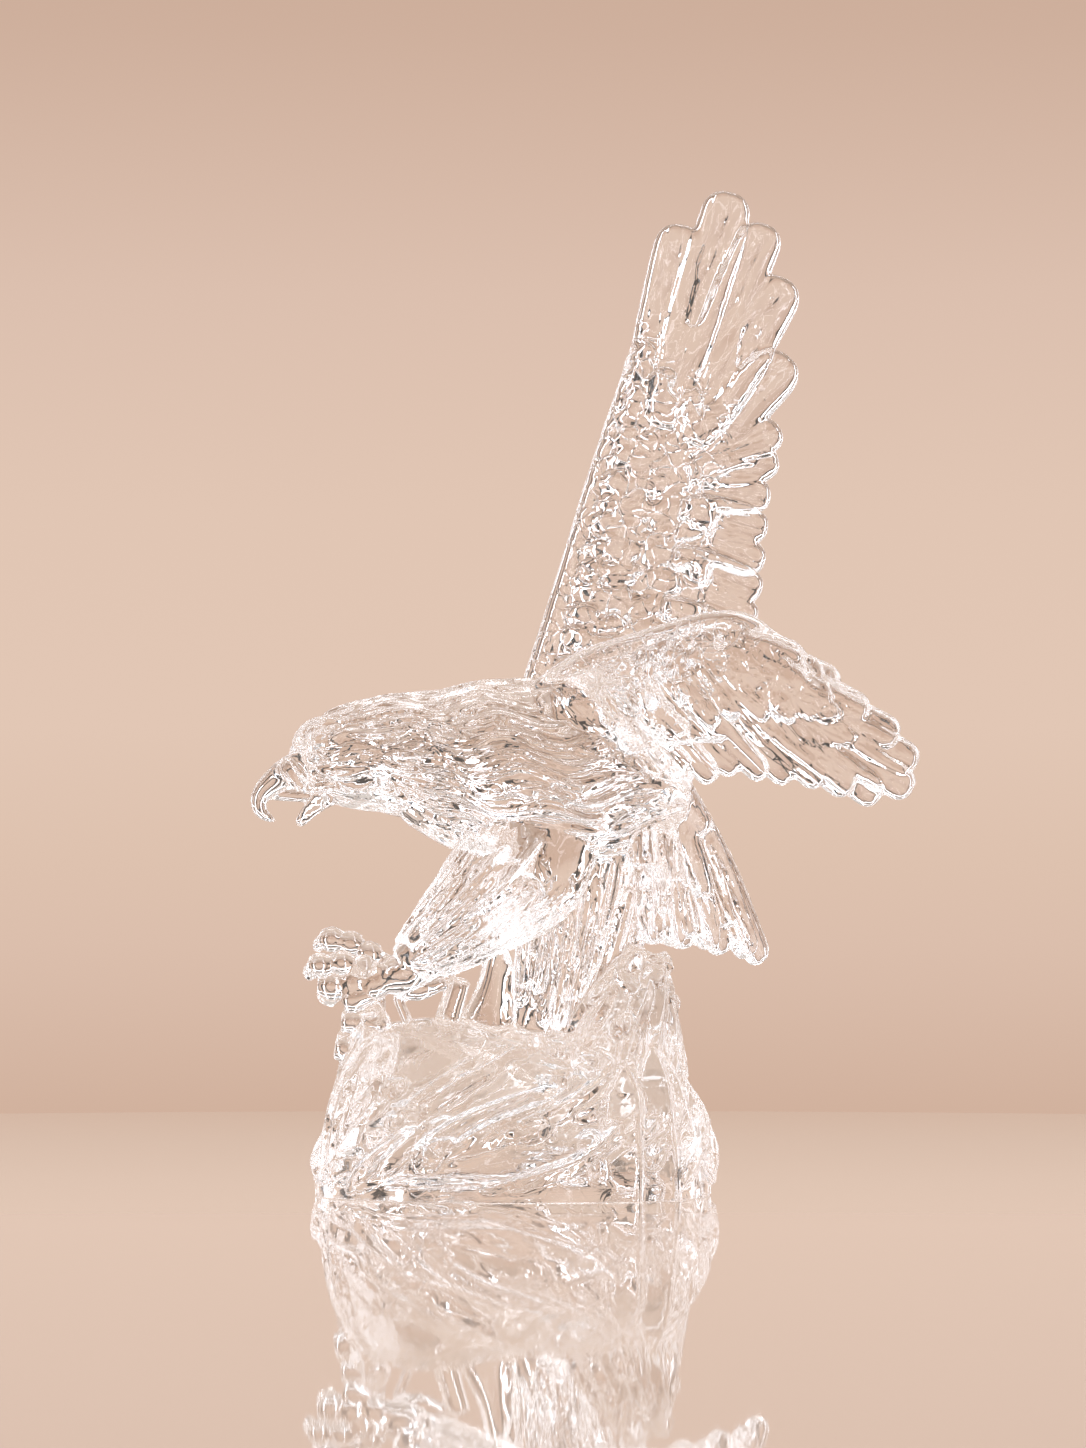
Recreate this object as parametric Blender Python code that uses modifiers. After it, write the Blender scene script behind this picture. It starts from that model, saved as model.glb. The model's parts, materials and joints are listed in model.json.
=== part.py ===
"""A crystal eagle landing on a crag, cast in one piece.

The origin is the middle of the flat underside. +X runs from the beak to the tail, +Y from the low
near wing to the tall far wing, and +Z up. The pose is drawn in millimetres on a figure 240 mm tall,
so every place on the eagle and on the crag's top is a share of FIGURE_HEIGHT.
"""

import math
import random

import bmesh
import bpy
from mathutils import Vector

# Driving sizes, in metres
FIGURE_HEIGHT = 0.240
BASE_LENGTH = 0.0935
BASE_DEPTH = 0.076
RIM_HEIGHT = 0.0035  # the polished upright edge of the base
FEATHER_THICKNESS = 0.0030
WING_ROOT_THICKNESS = 0.0070
WING_EDGE_THICKNESS = 0.0022
PLUMAGE_RELIEF = 0.0014  # how far the end of a small feather stands off the skin below it
CAST_GRAIN = 0.0009  # the finest form that the casting keeps
UNDERSIDE_ALLOWANCE = 0.006  # what is ground away to make the underside flat

# Counts
FACETS = 9850
BEDS = 57  # the slanting ridges round the crag
SMOOTHING_PASSES = 1

DRAWN_HEIGHT = 240.0  # millimetres, the height that the pose is drawn at
MM = FIGURE_HEIGHT / DRAWN_HEIGHT
SIDEWAYS = Vector((0.0, 1.0, 0.0))
UP = Vector((0.0, 0.0, 1.0))

# The body's spine from cere to rump: along, up, half height, half width
SPINE = (
    (-52.9, 102.7, 2.4, 3.0),
    (-49.3, 102.7, 5.4, 5.2),
    (-44.6, 102.9, 8.9, 7.4),
    (-38.7, 103.2, 11.2, 9.0),
    (-31.6, 103.6, 12.6, 10.0),
    (-24.6, 102.8, 13.9, 11.4),
    (-17.5, 100.8, 16.9, 13.4),
    (-9.2, 99.4, 19.9, 16.2),
    (-0.9, 98.7, 21.6, 18.2),
    (8.5, 97.6, 22.2, 19.2),
    (17.9, 97.0, 21.0, 18.2),
    (27.4, 97.3, 17.6, 15.4),
    (35.7, 96.8, 10.6, 10.8),
    (41.6, 94.9, 4.7, 6.0),
)

# The upper beak from forehead to hook: along, up, half height, half width
UPPER_BEAK = (
    (-49.5, 99.8, 5.4, 4.8),
    (-53.4, 99.0, 3.8, 3.8),
    (-56.0, 97.4, 3.2, 3.2),
    (-58.6, 95.2, 2.6, 2.6),
    (-60.2, 92.8, 2.1, 2.1),
    (-60.0, 90.4, 1.8, 1.7),
    (-58.6, 88.8, 1.3, 1.3),
    (-56.4, 87.6, 0.6, 0.8),
)
LOWER_BEAK = (
    (-43.0, 94.4, 3.0, 5.0),
    (-45.5, 92.4, 2.4, 4.2),
    (-47.8, 90.4, 1.9, 3.2),
    (-49.8, 88.1, 1.5, 2.2),
    (-51.0, 86.5, 0.9, 1.2),
)
TONGUE = (
    (-47.0, 93.4, 1.3, 2.2),
    (-52.0, 93.6, 1.5, 2.0),
    (-57.6, 93.6, 1.1, 1.2),
)

# The far wing stands up. Each line runs from its leading edge to its trailing edge.
FAR_WING = (
    ((1.0, 6.0, 106.0), (28.0, 6.0, 99.0)),
    ((3.8, 9.0, 118.0), (38.0, 9.0, 112.0)),
    ((7.2, 12.5, 130.0), (49.0, 12.5, 125.0)),
    ((10.2, 15.5, 140.5), (54.0, 15.0, 137.0)),
    ((13.2, 18.0, 150.2), (55.6, 17.5, 149.0)),
    ((16.0, 21.0, 159.9), (56.2, 20.5, 159.5)),
    ((18.9, 23.0, 169.7), (57.0, 22.5, 170.5)),
    ((22.1, 25.0, 179.4), (58.6, 24.5, 181.0)),
    ((25.2, 27.0, 189.2), (60.0, 26.5, 191.5)),
    ((28.4, 29.0, 199.1), (61.5, 28.5, 201.0)),
    ((31.2, 30.0, 208.8), (60.0, 29.5, 211.0)),
    ((34.0, 31.0, 216.5), (55.0, 31.0, 220.0)),
)
# Long feathers of the far wing: root, tip, half width
FAR_PRIMARIES = (
    ((31.4, 27.0, 187.0), (41.0, 32.0, 232.6), 6.3),
    ((35.5, 26.5, 183.0), (53.0, 33.5, 240.2), 6.4),
    ((40.0, 26.0, 181.0), (61.4, 33.0, 232.8), 5.8),
    ((43.0, 25.5, 178.5), (66.1, 32.0, 219.0), 6.4),
    ((44.0, 25.0, 176.0), (66.9, 30.5, 200.2), 6.6),
)
FAR_SECONDARIES = (
    ((43.0, 24.0, 172.5), (64.6, 27.0, 182.4), 4.7),
    ((42.0, 23.5, 170.5), (64.0, 26.0, 174.6), 4.7),
    ((41.0, 22.0, 167.5), (62.0, 24.0, 166.0), 4.8),
    ((40.0, 20.5, 162.5), (61.2, 22.5, 157.6), 4.7),
    ((39.0, 19.0, 157.0), (60.4, 20.8, 149.8), 4.6),
    ((38.0, 17.5, 151.0), (59.6, 19.0, 142.6), 4.4),
    ((37.0, 16.0, 145.0), (58.4, 17.4, 136.0), 4.2),
    ((35.5, 14.5, 139.0), (55.6, 15.8, 130.0), 4.0),
    ((33.0, 13.0, 133.0), (51.6, 14.2, 124.6), 3.8),
)

# The near wing sweeps back and towards the viewer. Its lines follow its feathers.
NEAR_WING = (
    ((2.0, -4.0, 114.0), (24.0, -8.0, 96.0)),
    ((11.0, -10.0, 121.6), (33.0, -15.0, 101.0)),
    ((20.0, -15.0, 126.6), (41.5, -20.5, 102.0)),
    ((29.2, -21.0, 129.0), (52.0, -28.5, 102.5)),
    ((38.4, -28.0, 132.0), (61.0, -35.0, 103.0)),
    ((47.2, -34.5, 133.8), (72.0, -43.0, 100.0)),
    ((53.0, -38.5, 133.0), (82.0, -48.0, 99.5)),
    ((57.4, -41.0, 130.2), (84.0, -49.5, 103.5)),
    ((61.8, -43.0, 126.6), (80.0, -49.0, 109.0)),
    ((65.2, -45.0, 123.0), (75.0, -48.0, 115.0)),
)
NEAR_PRIMARIES = (
    ((45.0, -32.0, 122.0), (77.5, -44.5, 94.2), 4.2),
    ((46.0, -33.0, 123.0), (84.2, -47.5, 92.4), 4.2),
    ((47.0, -34.0, 124.0), (90.8, -50.5, 94.0), 4.4),
    ((48.5, -35.0, 125.0), (92.4, -52.0, 100.2), 4.2),
    ((50.0, -36.0, 126.0), (87.6, -51.0, 106.2), 4.0),
    ((51.5, -37.0, 127.0), (81.4, -50.0, 111.8), 4.0),
    ((53.0, -38.0, 128.0), (74.2, -48.0, 118.0), 3.9),
    ((54.0, -38.5, 129.5), (67.0, -46.0, 123.8), 3.6),
)
NEAR_SECONDARIES = (
    ((22.0, -13.0, 116.0), (35.5, -16.5, 99.0), 3.6),
    ((26.0, -15.5, 117.0), (41.2, -19.5, 98.0), 3.7),
    ((30.0, -18.5, 118.0), (46.8, -22.5, 96.6), 3.8),
    ((35.0, -22.5, 119.0), (52.6, -26.5, 98.8), 3.8),
    ((39.0, -25.5, 120.0), (58.4, -30.5, 97.4), 3.9),
    ((42.0, -28.5, 121.0), (64.8, -36.0, 97.0), 4.1),
    ((44.0, -30.5, 122.0), (71.0, -40.5, 95.8), 4.1),
)

# Tail feathers: root, tip, half width
TAIL_FEATHERS = (
    ((39.0, 5.0, 98.0), (60.0, 13.0, 54.0), 4.3),
    ((37.8, 3.5, 97.5), (55.2, 9.0, 55.0), 4.4),
    ((36.6, 2.0, 97.0), (50.4, 4.6, 56.2), 4.4),
    ((35.4, 0.5, 96.5), (45.6, 0.0, 57.0), 4.4),
    ((34.0, -1.5, 96.0), (41.0, -4.6, 57.6), 4.4),
    ((32.4, -3.5, 95.5), (36.8, -9.2, 57.8), 4.4),
    ((30.6, -5.5, 95.0), (33.4, -13.4, 58.8), 4.2),
)

# Legs: along, sideways, up, half height, half width
NEAR_THIGH = (
    (11.0, -6.0, 90.0, 12.0, 10.0),
    (4.0, -9.5, 79.0, 14.4, 10.6),
    (-5.0, -12.5, 70.0, 12.2, 9.6),
    (-13.4, -13.8, 62.8, 9.2, 8.0),
    (-20.4, -14.2, 57.6, 6.6, 6.4),
    (-26.0, -14.4, 54.0, 4.4, 4.8),
)
FAR_THIGH = (
    (15.0, 7.0, 88.0, 15.0, 10.0),
    (12.6, 8.5, 74.0, 13.6, 10.0),
    (10.4, 8.5, 60.0, 11.4, 8.6),
    (7.4, 7.5, 47.0, 8.4, 6.6),
    (4.4, 6.5, 37.0, 5.4, 5.2),
)
# The vent feathers, which hang behind the thighs down to the crag
VENT = (
    (24.0, 1.0, 94.0, 12.0, 10.0),
    (24.0, 2.0, 80.0, 11.6, 8.6),
    (21.6, 3.0, 66.0, 10.0, 7.4),
    (18.6, 3.0, 53.0, 8.6, 6.4),
    (15.6, 2.0, 41.0, 7.4, 5.8),
    (13.6, 2.0, 32.0, 6.4, 5.4),
)

# The crag's mound: up, half length and half depth as shares of the base's, shift along
MOUND = (
    (8.0, 0.975, 0.95, 0.0),
    (16.0, 0.92, 0.87, 0.6),
    (23.0, 0.84, 0.76, 0.8),
    (28.0, 0.76, 0.64, 1.0),
    (32.0, 0.64, 0.48, 2.0),
    (35.0, 0.36, 0.26, 3.0),
)
# Tall parts of the crag: along, sideways, up, half length, half depth
COLUMN = (
    (-36.0, -8.0, 2.0, 8.4, 16.0),
    (-35.4, -9.0, 14.0, 7.8, 13.0),
    (-34.0, -10.0, 25.0, 6.8, 10.0),
    (-32.4, -11.0, 32.0, 5.8, 7.4),
    (-31.4, -11.4, 37.0, 3.6, 4.2),
)
PEAK = (
    (25.4, -3.0, 2.0, 18.0, 26.0),
    (25.2, -3.0, 20.0, 16.4, 20.0),
    (25.4, -3.0, 33.0, 13.8, 14.6),
    (26.8, -2.5, 43.0, 10.6, 11.6),
    (28.8, -2.0, 50.5, 7.6, 8.6),
    (31.0, -2.0, 57.4, 3.6, 4.4),
)
# The knobs down the crag's near edge, below the raised foot: start, end, radius
EDGE_KNOBS = (
    ((-39.6, -11.5, 45.0), (-33.0, -12.0, 47.2), 3.1),
    ((-40.2, -11.0, 40.6), (-31.0, -11.5, 40.6), 2.7),
    ((-41.6, -10.0, 35.0), (-33.0, -10.5, 33.6), 3.4),
    ((-39.4, -9.0, 28.6), (-34.0, -9.5, 26.6), 3.9),
    ((-38.8, -8.6, 24.6), (-34.0, -9.5, 25.6), 2.6),
    ((-36.4, -15.0, 38.0), (-31.0, -12.0, 36.0), 3.0),
    ((-37.6, -15.6, 31.0), (-32.0, -12.0, 30.0), 3.3),
    ((-33.0, -16.0, 43.0), (-30.0, -12.0, 40.0), 2.6),
)
# Thin struts under the raised foot: start, end, radius
STRUTS = (
    ((-30.8, -12.0, 48.0), (-30.6, -11.4, 37.0), 0.9),
    ((-27.2, -13.0, 46.6), (-21.6, -9.0, 33.6), 1.2),
    ((-12.4, -12.0, 50.6), (-17.8, -7.0, 33.0), 2.7),
)


def spline(values, share):
    """The value at a share of the way along a smooth curve through the values."""
    last = len(values) - 1
    place = min(max(share, 0.0), 1.0) * last
    first = min(int(place), last - 1)
    t = place - first
    before, start = values[max(first - 1, 0)], values[first]
    end, after = values[first + 1], values[min(first + 2, last)]
    return 0.5 * (
        2 * start
        + (end - before) * t
        + (2 * before - 5 * start + 4 * end - after) * t * t
        + (3 * start - before - 3 * end + after) * t * t * t
    )


def at(along, sideways, up):
    return Vector((along, sideways, up)) * MM


def drawn(*sizes):
    return [size * MM for size in sizes]


class Pour:
    """Gathers closed forms. They overlap, and fuse into one casting at the end."""

    def __init__(self):
        self.gathered = bmesh.new()
        self.single = bpy.data.meshes.new("single_form")

    def carry_sphere(self, station, rings, sides, squareness=1.0):
        """Adds a sphere with each ring carried to a station: its centre and two half axes."""
        bm = bmesh.new()
        bmesh.ops.create_uvsphere(bm, u_segments=sides, v_segments=rings, radius=1.0)
        stations = {}
        for vert in bm.verts:
            ring = round(vert.co.z, 5)
            if ring not in stations:
                stations[ring] = station((1.0 - vert.co.z) / 2.0)
            centre, across, through = stations[ring]
            radius = math.hypot(vert.co.x, vert.co.y)
            if radius < 1e-6:
                vert.co = centre
                continue
            turn = (vert.co.x / radius, vert.co.y / radius)
            x, y = (math.copysign(abs(c) ** squareness, c) for c in turn)
            vert.co = centre + across * x + through * y
        bmesh.ops.recalc_face_normals(bm, faces=bm.faces)
        bm.to_mesh(self.single)
        bm.free()
        self.gathered.from_mesh(self.single)

    def form(self, path, half_heights, half_widths, face, rings=12, sides=10, squareness=1.0):
        """Adds a closed form along a path, its half widths measured along face."""

        def station(share):
            step = 0.02
            ahead = spline(path, share + step) - spline(path, share - step)
            across = ahead.cross(face).normalized()
            through = across.cross(ahead).normalized()
            height, width = spline(half_heights, share), spline(half_widths, share)
            return spline(path, share), across * max(height, 0.0), through * max(width, 0.0)

        self.carry_sphere(station, rings, sides, squareness)

    def rows(self, rows, rings, sides, squareness=1.0):
        """Adds a form from rows of along, sideways, up, half height and half width."""
        path = [at(*row[:3]) for row in rows]
        self.form(path, drawn(*(row[3] for row in rows)), drawn(*(row[4] for row in rows)), SIDEWAYS,
                  rings, sides, squareness)

    def feather(self, root, tip, half_width, root_thickness, thickness, face, bow=0.0, rings=9, sides=8):
        """Adds a flat feather with a round tip. It bows along face by a share of its length."""
        middle = root.lerp(tip, 0.5) + face * bow * (tip - root).length
        widths = [half_width * share for share in (0.5, 0.78, 0.95, 1.0, 1.0, 0.98, 0.90, 0.50)]
        depths = []
        for n, share in enumerate((0.9, 1.0, 1.0, 1.0, 0.95, 0.9, 0.85, 0.7)):
            depths.append(share / 2 * (root_thickness + (thickness - root_thickness) * n / 7))
        self.form([root, middle, tip], widths, depths, face, rings, sides)

    def finish(self):
        """The gathered forms as one mesh."""
        mesh = bpy.data.meshes.new("gathered_forms")
        self.gathered.to_mesh(mesh)
        self.gathered.free()
        bpy.data.meshes.remove(self.single)
        return mesh


class Sheet:
    """A wing's middle surface. Span runs from the body to the wing's end, chord from its leading edge."""

    def __init__(self, lines, camber, reach):
        self.leading = [at(*line[0]) for line in lines]
        self.trailing = [at(*line[1]) for line in lines]
        self.camber = camber * MM
        self.reach = reach
        self.length = (self.leading[-1] - self.leading[0]).length

    def flat(self, span, chord):
        return spline(self.leading, span).lerp(spline(self.trailing, span), chord)

    def face(self, span, chord):
        """The way that the surface faces on its near side."""
        step = 0.04
        along = self.flat(min(span + step, 1.0), chord) - self.flat(max(span - step, 0.0), chord)
        across = self.flat(span, min(chord + step, 1.0)) - self.flat(span, max(chord - step, 0.0))
        normal = along.cross(across).normalized()
        return normal if normal.y < 0 else -normal

    def at(self, span, chord):
        swell = 4 * chord * (1 - chord) * self.camber
        return self.flat(span, chord) + self.face(span, chord) * swell

    def thickness(self, span):
        return WING_ROOT_THICKNESS + (WING_EDGE_THICKNESS - WING_ROOT_THICKNESS) * span

    def skin(self, span, chord, side):
        """A place on the wing's skin, on its near side for 1 and its far side for -1."""
        off_middle = min(abs(2 * chord / self.reach - 1), 1)
        half = self.thickness(span) / 2 * math.sqrt(1 - off_middle ** 3)
        return self.at(span, chord) + self.face(span, chord) * side * half

    def walk(self, span, chord, angle, distance):
        """The span and chord reached by going a distance, at an angle from the chord's direction."""
        turn = math.radians(angle)
        width = (self.flat(span, 1.0) - self.flat(span, 0.0)).length
        return span + distance * math.sin(turn) / self.length, chord + distance * math.cos(turn) / width

    def membrane(self, pour, end):
        """Adds the glass between the feathers, up to a share of the span."""

        def station(share):
            span = end * share
            front, back = self.at(span, 0.0), self.at(span, self.reach)
            facing = self.face(span, self.reach / 2)
            half = self.thickness(span) / 2 * (1 - 0.75 * share ** 6)
            return self.at(span, self.reach / 2), (back - front) / 2, facing * half

        pour.carry_sphere(station, rings=24, sides=18, squareness=0.8)

    def coverts(self, pour, rows, direction, rng):
        """Adds rows of small overlapping feathers to both sides of the wing.

        A row is its chord, its first and last span, its count, and a feather's length and half width
        in millimetres. direction gives a feather's angle at a span and chord.
        """
        for side in (1, -1):
            for chord, first, last, count, length, half_width in rows:
                for n in range(count):
                    span = first + (last - first) * (n + 0.5 + rng.uniform(-0.15, 0.15)) / count
                    start = chord + rng.uniform(-0.02, 0.02)
                    angle = direction(span, start) + rng.uniform(-6, 6)
                    end_span, end = self.walk(span, start, angle, length * MM)
                    end_span = min(max(end_span, 0.0), 1.0)
                    face = self.face(end_span, end) * side
                    root = self.skin(span, start, side) - face * PLUMAGE_RELIEF * 0.5
                    tip = self.skin(end_span, end, side) + face * PLUMAGE_RELIEF * 0.5
                    pour.feather(root, tip, half_width * MM, PLUMAGE_RELIEF, PLUMAGE_RELIEF * 1.3, face,
                                 0.06, rings=8, sides=8)


def long_feathers(pour, feathers, sheet, face, stagger, rings):
    """Adds the long feathers of a wing, every second one a step forward."""
    for n, (root, tip, half_width) in enumerate(feathers):
        step = face * (stagger * (n % 2 - 0.5) * FEATHER_THICKNESS)
        pour.feather(at(*root) + step, at(*tip) + step, half_width * MM, sheet.thickness(0.5) * 1.25,
                     FEATHER_THICKNESS, face, 0.01, rings)


def far_wing(pour, rng):
    sheet = Sheet(FAR_WING, camber=-2.0, reach=0.80)
    sheet.membrane(pour, 0.85)
    edge = [sheet.at(n / 10, 0.02) for n in range(11)]
    pour.form(edge, drawn(3.4, 2.6, 2.2, 1.3), drawn(3.2, 2.6, 2.0, 1.5), SIDEWAYS, rings=22, sides=10)
    face = sheet.face(0.8, 0.5)
    long_feathers(pour, FAR_PRIMARIES, sheet, face, 0.5, 16)
    long_feathers(pour, FAR_SECONDARIES, sheet, face, 0.5, 12)
    rows = (
        (0.52, 0.06, 0.74, 13, 12.0, 3.1),
        (0.34, 0.06, 0.80, 14, 12.0, 3.1),
        (0.16, 0.06, 0.86, 15, 11.0, 3.0),
        (0.02, 0.06, 0.90, 16, 10.0, 2.8),
    )
    sheet.coverts(pour, rows, lambda span, chord: -30 + 80 * span + 35 * (1 - chord), rng)


def shoulder(pour):
    """Adds the near wing's root, which swells out of the back."""
    path = [at(4.0, -6.0, 106.0), at(13.0, -10.0, 111.0), at(22.0, -14.5, 114.6), at(31.0, -20.0, 117.0)]
    pour.form(path, drawn(10.0, 10.0, 9.0, 7.0), drawn(8.0, 7.0, 5.0, 3.0), SIDEWAYS, rings=12, sides=12)


def near_wing(pour, rng):
    shoulder(pour)
    sheet = Sheet(NEAR_WING, camber=2.0, reach=0.84)
    sheet.membrane(pour, 0.99)
    edge = [sheet.at(n / 10, 0.02) for n in range(11)]
    pour.form(edge, drawn(3.4, 3.0, 2.8, 1.8), drawn(3.4, 2.8, 2.4, 1.6), SIDEWAYS, rings=20, sides=10)
    long_feathers(pour, NEAR_PRIMARIES, sheet, sheet.face(0.65, 0.6), 0.5, 16)
    long_feathers(pour, NEAR_SECONDARIES, sheet, sheet.face(0.3, 0.6), 0.5, 14)
    rows = (
        (0.34, 0.04, 0.98, 13, 13.0, 2.6),
        (0.20, 0.04, 0.98, 13, 10.0, 2.5),
        (0.08, 0.04, 0.98, 12, 8.0, 2.5),
    )
    sheet.coverts(pour, rows, lambda span, chord: 4, rng)
    edge_row = ((0.0, 0.03, 0.98, 22, 6.0, 1.9),)
    sheet.coverts(pour, edge_row, lambda span, chord: 20, rng)


def tail(pour):
    face = Vector((0.70, -0.70, 0.17)).normalized()
    for n, (root, tip, half_width) in enumerate(TAIL_FEATHERS):
        step = face * ((n % 2 - 0.5) * FEATHER_THICKNESS * 0.8)
        start, end = at(*root) + step, at(*tip) + step
        pour.feather(start, end, half_width * MM, FEATHER_THICKNESS * 1.6, FEATHER_THICKNESS, face, 0.03,
                     rings=14)
        for side in (1, -1):
            lift = face * side * FEATHER_THICKNESS * 0.7
            pour.feather(start, start.lerp(end, 0.42 + 0.08 * (n % 2)) + lift, half_width * MM * 0.85,
                         FEATHER_THICKNESS, PLUMAGE_RELIEF * 1.4, face * side, 0.05, rings=10)
    path = [at(32.0, -1.0, 99.0), at(37.0, -1.0, 88.0), at(42.0, 0.0, 75.0), at(46.0, 0.0, 62.0)]
    pour.form(path, drawn(7.0, 10.0, 14.0, 17.0), drawn(6.0, 4.6, 2.4, 1.2), face, rings=14, sides=14)


def body_skin(share, angle, lift):
    """A place on the body's skin and the way it faces. Angle 0 is the near flank, 90 the back."""
    along, up, height, width = (spline([row[n] for row in SPINE], share) for n in range(4))
    turn = math.radians(angle)
    skin = Vector((along, -width * math.cos(turn), up + height * math.sin(turn)))
    face = Vector((0, -math.cos(turn) / width, math.sin(turn) / height)).normalized()
    return skin * MM + face * lift, face


def lock(pour, points, half_width, face):
    """Adds one lock of body feathers, with its tip standing off the skin."""
    widths = drawn(*(half_width * share for share in (0.5, 0.9, 1.0, 0.9, 0.35)))
    depths = [PLUMAGE_RELIEF * share for share in (0.5, 0.9, 0.95, 0.8, 0.4)]
    pour.form(points, widths, depths, face, rings=9, sides=8)


def body_plumage(pour, rng):
    """Adds long locks of feathers that run from the head over the neck, back and flanks."""
    rows = 13
    for row in range(rows):
        share = 0.13 + 0.76 * row / rows
        count = 14 if row > 5 else 11
        for n in range(count):
            angle = -96 + 360 * (n + 0.5 * (row % 2)) / count + rng.uniform(-5, 5)
            length = 0.15 + rng.uniform(-0.02, 0.03)
            sway = rng.uniform(-6, 6)
            points = []
            for step in (0.0, 0.33, 0.66, 1.0):
                wave = 2 * sway * math.sin(step * math.pi * 1.5)
                place, face = body_skin(share + length * step, angle + wave, PLUMAGE_RELIEF * (0.1 + 0.6 * step))
                points.append(place)
            lock(pour, points, 2.9 if row > 4 else 2.3, face)


def head(pour):
    pour.rows([(along, 0.0, up, height, width) for along, up, height, width in SPINE], 34, 20)
    pour.rows([(along, 0.0, up, height, width) for along, up, height, width in UPPER_BEAK], 20, 10)
    pour.rows([(along, 0.0, up, height, width) for along, up, height, width in LOWER_BEAK], 10, 8)
    pour.rows([(along, 0.0, up, height, width) for along, up, height, width in TONGUE], 8, 6)
    for side in (-1, 1):
        brow = [at(-51.8, 4.2 * side, 105.4), at(-48.6, 6.0 * side, 108.6), at(-44.6, 7.0 * side, 110.4),
                at(-40.0, 7.6 * side, 110.6)]
        pour.form(brow, drawn(0.9, 1.5, 1.7, 0.8), drawn(1.2, 2.2, 2.0, 0.8), UP, rings=10, sides=8)
        eye = [at(-46.9, 6.1 * side, 106.2), at(-45.2, 6.7 * side, 106.4), at(-43.5, 7.0 * side, 106.4)]
        pour.form(eye, drawn(1.0, 1.9, 1.0), drawn(1.2, 1.9, 1.2), SIDEWAYS, rings=8, sides=8)
        cere = [at(-53.8, 3.2 * side, 102.0), at(-52.4, 4.4 * side, 99.4), at(-50.0, 5.0 * side, 95.8)]
        pour.form(cere, drawn(1.0, 1.5, 1.2), drawn(1.0, 1.2, 1.0), SIDEWAYS, rings=8, sides=8)
        gape = [at(-51.6, 3.4 * side, 95.4), at(-47.0, 5.6 * side, 95.0), at(-41.6, 7.6 * side, 95.8)]
        pour.form(gape, drawn(0.8, 1.3, 0.9), drawn(1.0, 1.4, 1.0), SIDEWAYS, rings=8, sides=8)


def leg(pour, rows, rng, count, length):
    """Adds a feathered thigh, with locks of feathers down its sides."""
    pour.rows(rows, 18, 16)
    path = [at(*row[:3]) for row in rows]
    heights, widths = (drawn(*(row[n] for row in rows)) for n in (3, 4))
    for n in range(count):
        turn = 2 * math.pi * (n * 0.382 + rng.uniform(-0.02, 0.02))
        start = 0.10 + (0.86 - length) * n / count
        points = []
        for step in (0.0, 0.33, 0.66, 1.0):
            share = start + length * step
            ahead = (spline(path, share + 0.02) - spline(path, share - 0.02)).normalized()
            across = ahead.cross(SIDEWAYS).normalized()
            out = (across * math.cos(turn) * spline(heights, share)
                   + SIDEWAYS * math.sin(turn) * spline(widths, share))
            points.append(spline(path, share) + out * (1.0 + 0.06 * step))
        face = (points[2] - spline(path, start + length * 0.66)).normalized()
        lock(pour, points, 2.6, face)


def toe(pour, points, radius, claw):
    """Adds a toe with a knuckle at each joint and a hooked claw."""
    path = [at(*point) for point in points]
    size = radius * MM
    pour.form(path, [size * 0.9] * len(path), [size * 0.85] * len(path), SIDEWAYS, rings=14, sides=8)
    for place in path[1:]:
        reach = Vector((size * 1.2, 0, 0))
        pour.form([place - reach, place, place + reach], [0.9 * size, 1.4 * size, 0.9 * size],
                  [0.9 * size, 1.3 * size, 0.9 * size], SIDEWAYS, rings=8, sides=8)
    hook = [path[-1]] + [at(*point) for point in claw]
    pour.form(hook, [size, size * 0.85, size * 0.35], [size * 0.9, size * 0.7, size * 0.35], SIDEWAYS,
              rings=8, sides=8)


NEAR_TOES = (
    (((-27.0, -12.0, 53.0), (-33.6, -10.5, 56.4), (-38.0, -9.0, 58.8), (-42.6, -8.0, 59.8)), 2.3,
     ((-45.4, -8.0, 58.6), (-46.2, -8.0, 56.8))),
    (((-27.0, -15.0, 51.4), (-35.0, -16.5, 53.6), (-40.0, -17.2, 54.6), (-45.0, -17.6, 54.0)), 2.2,
     ((-47.4, -17.8, 52.4), (-46.8, -17.8, 50.4))),
    (((-26.0, -14.0, 49.6), (-32.0, -14.0, 49.8), (-37.5, -13.6, 49.8), (-42.4, -13.2, 49.0)), 2.8,
     ((-43.8, -13.0, 46.8), (-41.6, -12.4, 44.6))),
)
FAR_TOES = (
    (((4.0, 5.0, 36.0), (-2.0, 2.0, 36.6), (-8.0, 0.0, 34.6), (-13.0, -1.0, 31.6)), 2.3,
     ((-16.0, -1.6, 29.0), (-17.4, -2.0, 26.0))),
    (((4.0, 5.0, 36.0), (-1.0, -3.0, 35.6), (-5.0, -9.0, 33.0), (-8.0, -13.0, 30.0)), 2.2,
     ((-10.0, -15.6, 27.4), (-11.0, -16.6, 24.4))),
    (((4.0, 6.0, 36.0), (0.0, 12.0, 35.6), (-5.0, 15.0, 33.4), (-9.0, 17.0, 30.0)), 2.2,
     ((-11.4, 18.6, 27.4), (-12.4, 19.0, 24.0))),
    (((5.0, 6.0, 36.0), (9.0, 6.0, 35.4), (13.0, 4.0, 33.8), (16.0, 1.0, 31.0)), 2.2,
     ((17.4, -2.0, 28.6), (18.0, -4.0, 25.4))),
)


def feet(pour):
    for points, radius, claw in NEAR_TOES + FAR_TOES:
        toe(pour, points, radius, claw)
    palm = [at(-18.0, -14.2, 55.4), at(-25.0, -14.0, 52.2), at(-30.5, -14.0, 50.4)]
    pour.form(palm, drawn(3.6, 5.2, 3.4), drawn(4.2, 4.8, 3.6), SIDEWAYS, rings=10, sides=10)
    heel = [at(-28.0, -13.6, 48.4), at(-22.4, -13.2, 48.0), at(-16.0, -12.6, 50.0)]
    pour.form(heel, drawn(1.4, 2.6, 1.6), drawn(2.2, 3.2, 2.4), SIDEWAYS, rings=10, sides=8)


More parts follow.
